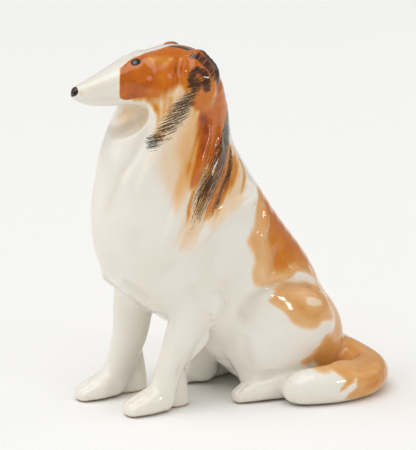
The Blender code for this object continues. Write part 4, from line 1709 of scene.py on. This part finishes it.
@dataclass(frozen=True)
class PaintedGlaze:
    """Clear gloss glaze over ivory clay with orange washes, black dry-brush work and a darker grey-cream in
    the grooves that is partly pooled glaze and partly painted shade.
    """

    slot: str
    cloud_scale: float = 45         # uneven thickness of the washes and the glaze
    grain_scale: float = 420        # pigment settling in the wash
    edge_scale: float = 900         # raggedness of the mask's edge
    wave_scale: float = 110         # ripples in the glaze
    wave_depth: float = 0.00014
    strand_scale: tuple = (0.1, 2.8, 1)     # hairs of the dry brush: along, across, seed
    speckle_scale: tuple = (0.6, 3.4, 1)    # breaks along each hair
    opacity: float = 0.92           # of the black
    ivory: tuple = srgb(239, 234, 225)
    warm_ivory: tuple = srgb(236, 230, 217)
    # darker grey-cream for the grooves: partly glaze pooled there, partly painted shade
    pooled_glaze_and_shade: tuple = srgb(214, 203, 186)
    bare_clay: tuple = srgb(196, 160, 118)
    black: tuple = srgb(34, 25, 20)
    washes: tuple = ((0.0, srgb(239, 234, 225)), (0.12, srgb(237, 215, 186)), (0.25, srgb(232, 186, 132)),
                     (0.5, srgb(214, 148, 70)), (0.62, srgb(206, 122, 26)), (0.75, srgb(197, 101, 4)),
                     (0.88, srgb(172, 78, 2)), (1.0, srgb(96, 30, 2)))

    def material(self) -> bpy.types.Material:
        """Build the node tree.

        Returns:
            The finished material.
        """
        shader = Shader(self.slot)
        place = shader.node("ShaderNodeTexCoord").outputs["Object"]
        cloud = shader.noise(place, self.cloud_scale, 3)
        grain = shader.noise(place, self.grain_scale, 2)
        edge = shader.noise(place, self.edge_scale, 2)
        crisp = (shader.attribute("mask") * 1.5 + 0.5 + (edge - 0.5) * 0.8).clamped()
        density = shader.attribute("wash") * (1 - crisp) + shader.attribute("tone") * crisp
        density = density * (0.5 + cloud + (grain - 0.5) * 0.16)
        ivory = shader.mix((cloud * 2.4 - 0.7).clamped(), self.ivory, self.warm_ivory)
        # grooves tinted darker by their depth: partly pooled glaze, partly painted shade
        ivory = shader.mix((shader.attribute("pool") * 0.1).clamped(), ivory, self.pooled_glaze_and_shade)
        colour = shader.mix((density * 9).clamped(), ivory, shader.ramp(density, self.washes))
        hair = shader.node("ShaderNodeAttribute", {"attribute_name": "hair"}).outputs["Vector"]
        strands = shader.noise(shader.scaled(hair, self.strand_scale), 1.0, 2)
        speckle = shader.noise(shader.scaled(hair, self.speckle_scale), 1.0, 1)
        brushed = shader.attribute("brush") + (strands - 0.5) * 3.0 + (speckle - 0.5) * 1.2
        ink = ((brushed - 0.32) * 3.4).clamped()
        colour = shader.mix(ink * self.opacity, colour, self.black)
        rim = (shader.attribute("rim") * (0.6 + grain)).clamped()
        colour = shader.mix(rim, colour, self.bare_clay)
        waves = shader.noise(place, self.wave_scale, 1)
        return shader.finish(
            Base_Color=colour,
            Roughness=0.06 + cloud * 0.04 + rim * 0.5,
            Normal=shader.bump(waves + ink * 0.15, self.wave_depth),
            IOR=IOR)


@dataclass(frozen=True)
class BlackEnamel:
    """Glossy black enamel on the nose."""

    slot: str = "black_enamel"
    black: tuple = srgb(30, 22, 20)
    worn: tuple = srgb(62, 44, 36)

    def material(self) -> bpy.types.Material:
        """Build the node tree.

        Returns:
            The finished material.
        """
        shader = Shader(self.slot)
        place = shader.node("ShaderNodeTexCoord").outputs["Object"]
        cloud = shader.noise(place, 700, 2)
        return shader.finish(Base_Color=shader.mix((cloud * 2 - 0.8).clamped(), self.black, self.worn),
                             Roughness=0.09 + cloud * 0.06,
                             Normal=shader.bump(cloud, 0.00008), IOR=IOR)


@dataclass(frozen=True)
class EyeEnamel:
    """Black enamel drop with a grey-blue centre."""

    slot: str = "eye_enamel"
    rings: tuple = ((0.0, srgb(72, 74, 84)), (0.2, srgb(116, 124, 140)), (0.36, srgb(92, 96, 112)),
                    (0.5, srgb(40, 34, 34)), (0.62, srgb(18, 14, 14)))

    def material(self) -> bpy.types.Material:
        """Build the node tree.

        Returns:
            The finished material.
        """
        shader = Shader(self.slot)
        place = shader.node("ShaderNodeTexCoord").outputs["Object"]
        cloud = shader.noise(place, 1500, 2)
        iris = shader.attribute("iris") + (cloud - 0.5) * 0.15
        return shader.finish(Base_Color=shader.ramp(iris, self.rings), Roughness=0.05 + cloud * 0.05,
                             IOR=IOR)


@dataclass(frozen=True)
class FloorPaper:
    """The pale paper sweep under the figurine."""

    white: tuple = srgb(245, 245, 243)
    fibre: tuple = srgb(240, 240, 237)

    def material(self) -> bpy.types.Material:
        """Build the node tree.

        Returns:
            The finished material.
        """
        shader = Shader("floor_paper")
        place = shader.node("ShaderNodeTexCoord").outputs["Object"]
        fibres = shader.noise(place, 60, 3)
        return shader.finish(Base_Color=shader.mix(fibres * 0.2, self.white, self.fibre),
                             Roughness=0.85)


# ------------------------------------------------------- studio and main ----

@dataclass(frozen=True)
class Softbox:
    """A rectangular light aimed at the middle of the figurine."""

    name: str
    azimuth: float
    height: float
    distance: float
    size: tuple[float, float]
    radiance: float
    tint: tuple[float, float, float] = (1.0, 1.0, 1.0)
    mirrored: bool = True

    def place(self, target: Vector) -> bpy.types.Object:
        """Hang the light.

        Args:
            target: The point that it faces.

        Returns:
            The light.
        """
        light = bpy.data.lights.new(self.name, "AREA")
        light.shape = "RECTANGLE"
        light.size, light.size_y = self.size
        light.energy = self.radiance * math.pi * self.size[0] * self.size[1]
        light.color = self.tint
        holder = bpy.data.objects.new(self.name, light)
        bpy.context.scene.collection.objects.link(holder)
        holder.visible_glossy = self.mirrored
        aim(holder, target, self.azimuth, self.height, self.distance)
        return holder


def aim(holder: bpy.types.Object, target: Vector, azimuth: float, height: float, distance: float) -> None:
    """Put an object on a sphere round a point, looking at it.

    Args:
        holder: The camera or light.
        target: The point to look at.
        azimuth: Degrees from the dog's front towards its left.
        height: Degrees over the horizon.
        distance: Metres from the target.
    """
    turn, rise = math.radians(azimuth), math.radians(height)
    back = Vector((math.sin(turn) * math.cos(rise), -math.cos(turn) * math.cos(rise), math.sin(rise)))
    holder.location = target + distance * back
    holder.rotation_euler = back.to_track_quat("Z", "Y").to_euler()


@dataclass
class Studio:
    """Paper sweep, soft lights and camera."""

    # Each light: azimuth, height, distance, size, radiance, tint and whether the glaze mirrors it.
    lights: tuple[Softbox, ...] = (
        Softbox("front_softbox", -25, 30, 2.0, (1.4, 1.4), 1.0),
        Softbox("rear_softbox", 165, 32, 2.2, (1.4, 1.2), 0.9),
        Softbox("window", 115, 24, 2.2, (0.16, 0.34), 26.0),
        Softbox("low_fill", 40, 12, 1.8, (1.2, 0.6), 0.7, (1.0, 0.97, 0.93), False),
        Softbox("backdrop_wash", 245, 30, 2.4, (1.8, 1.4), 0.3, (1.0, 1.0, 1.0), False),
    )
    skylight: float = 1.6
    skylight_spread: float = 60.0
    skylight_azimuth: float = 15.0
    skylight_height: float = 70.0
    world_strength: float = 0.38
    view_azimuth: float = 60.0
    view_height: float = 14.0
    view_distance: float = 1.3998
    lens: float = 200.0
    aim_offset: tuple[float, float, float] = (-0.00762, -0.00935, -0.00215)
    paper_half: float = 6.0
    paper_drop: float = 0.0001      # keeps the paper clear of the foot rims

    def build(self, box: tuple[Vector, Vector]) -> None:
        """Set the studio up round the figurine's box.

        Args:
            box: The box's lowest and highest corner.
        """
        low, high = Vector(box[0]), Vector(box[1])
        middle = (low + high) / 2
        for light in self.lights:
            light.place(middle)
        self.ceiling(middle)
        self.sweep()
        self.surroundings()
        self.camera(middle + Vector(self.aim_offset))

    def ceiling(self, target: Vector) -> None:
        """Even light from overhead, a little from the dog's front left.

        Args:
            target: The point that it faces.
        """
        light = bpy.data.lights.new("ceiling", "SUN")
        light.energy = self.skylight
        light.angle = math.radians(self.skylight_spread)
        holder = bpy.data.objects.new("ceiling", light)
        bpy.context.scene.collection.objects.link(holder)
        aim(holder, target, self.skylight_azimuth, self.skylight_height, 2.0)

    def sweep(self) -> None:
        """Lay the paper and mark it as not part of the object."""
        half = self.paper_half
        mesh = bpy.data.meshes.new("floor")
        corners = [(-half, -half, 0), (half, -half, 0), (half, half, 0), (-half, half, 0)]
        mesh.from_pydata(corners, [], [(0, 1, 2, 3)])
        mesh.materials.append(FloorPaper().material())
        floor = bpy.data.objects.new("floor", mesh)
        floor.location.z = -self.paper_drop
        bpy.context.scene.collection.objects.link(floor)
        floor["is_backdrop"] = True

    def surroundings(self) -> None:
        """Even white light from the room."""
        world = bpy.data.worlds.new("studio")
        world.use_nodes = True
        background = world.node_tree.nodes["Background"]
        background.inputs["Color"].default_value = (1, 0.99, 0.975, 1)
        background.inputs["Strength"].default_value = self.world_strength
        bpy.context.scene.world = world

    def camera(self, target: Vector) -> None:
        """Put the camera in front of the dog's left side.

        Args:
            target: The point that it faces.
        """
        lens = bpy.data.cameras.new("camera")
        lens.lens = self.lens
        lens.sensor_width = 36.0
        lens.clip_end = 50.0
        holder = bpy.data.objects.new("camera", lens)
        bpy.context.scene.collection.objects.link(holder)
        aim(holder, target, self.view_azimuth, self.view_height, self.view_distance)
        bpy.context.scene.camera = holder
        bpy.context.scene.view_settings.view_transform = "Standard"


def main() -> None:
    """Build the figurine, its finishes and the studio."""
    logging.basicConfig(level=logging.INFO, format="%(message)s")
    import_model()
    cad_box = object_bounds()
    collie = Collie()
    glazes = {name: PaintedGlaze(name).material() for name in ("ivory_glaze", "tan_glaze")}
    enamel, eye_enamel = BlackEnamel().material(), EyeEnamel().material()
    tan = {"head_shell", "left_ear", "right_ear", "tail"}
    skins = collie.pieces()
    for name, flank in (("left_eye", Flank.LEFT), ("right_eye", Flank.RIGHT)):
        skins[name] = Eye(flank).build()
    for name, skin in skins.items():
        piece = skin.to_object(f"{name}_skin")
        if name.endswith("eye"):
            slot, finish = "black_enamel", eye_enamel
        elif name == "nose_cap":
            slot, finish = "black_enamel", enamel
        else:
            slot = "tan_glaze" if name in tan else "ivory_glaze"
            finish = glazes[slot]
        piece.data.materials.append(finish)
        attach(piece, "root")
        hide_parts(name)
        log.info("%s: %d triangles", piece.name, len(skin.triangles))
    Studio().build(cad_box)


if __name__ == "__main__":
    main()
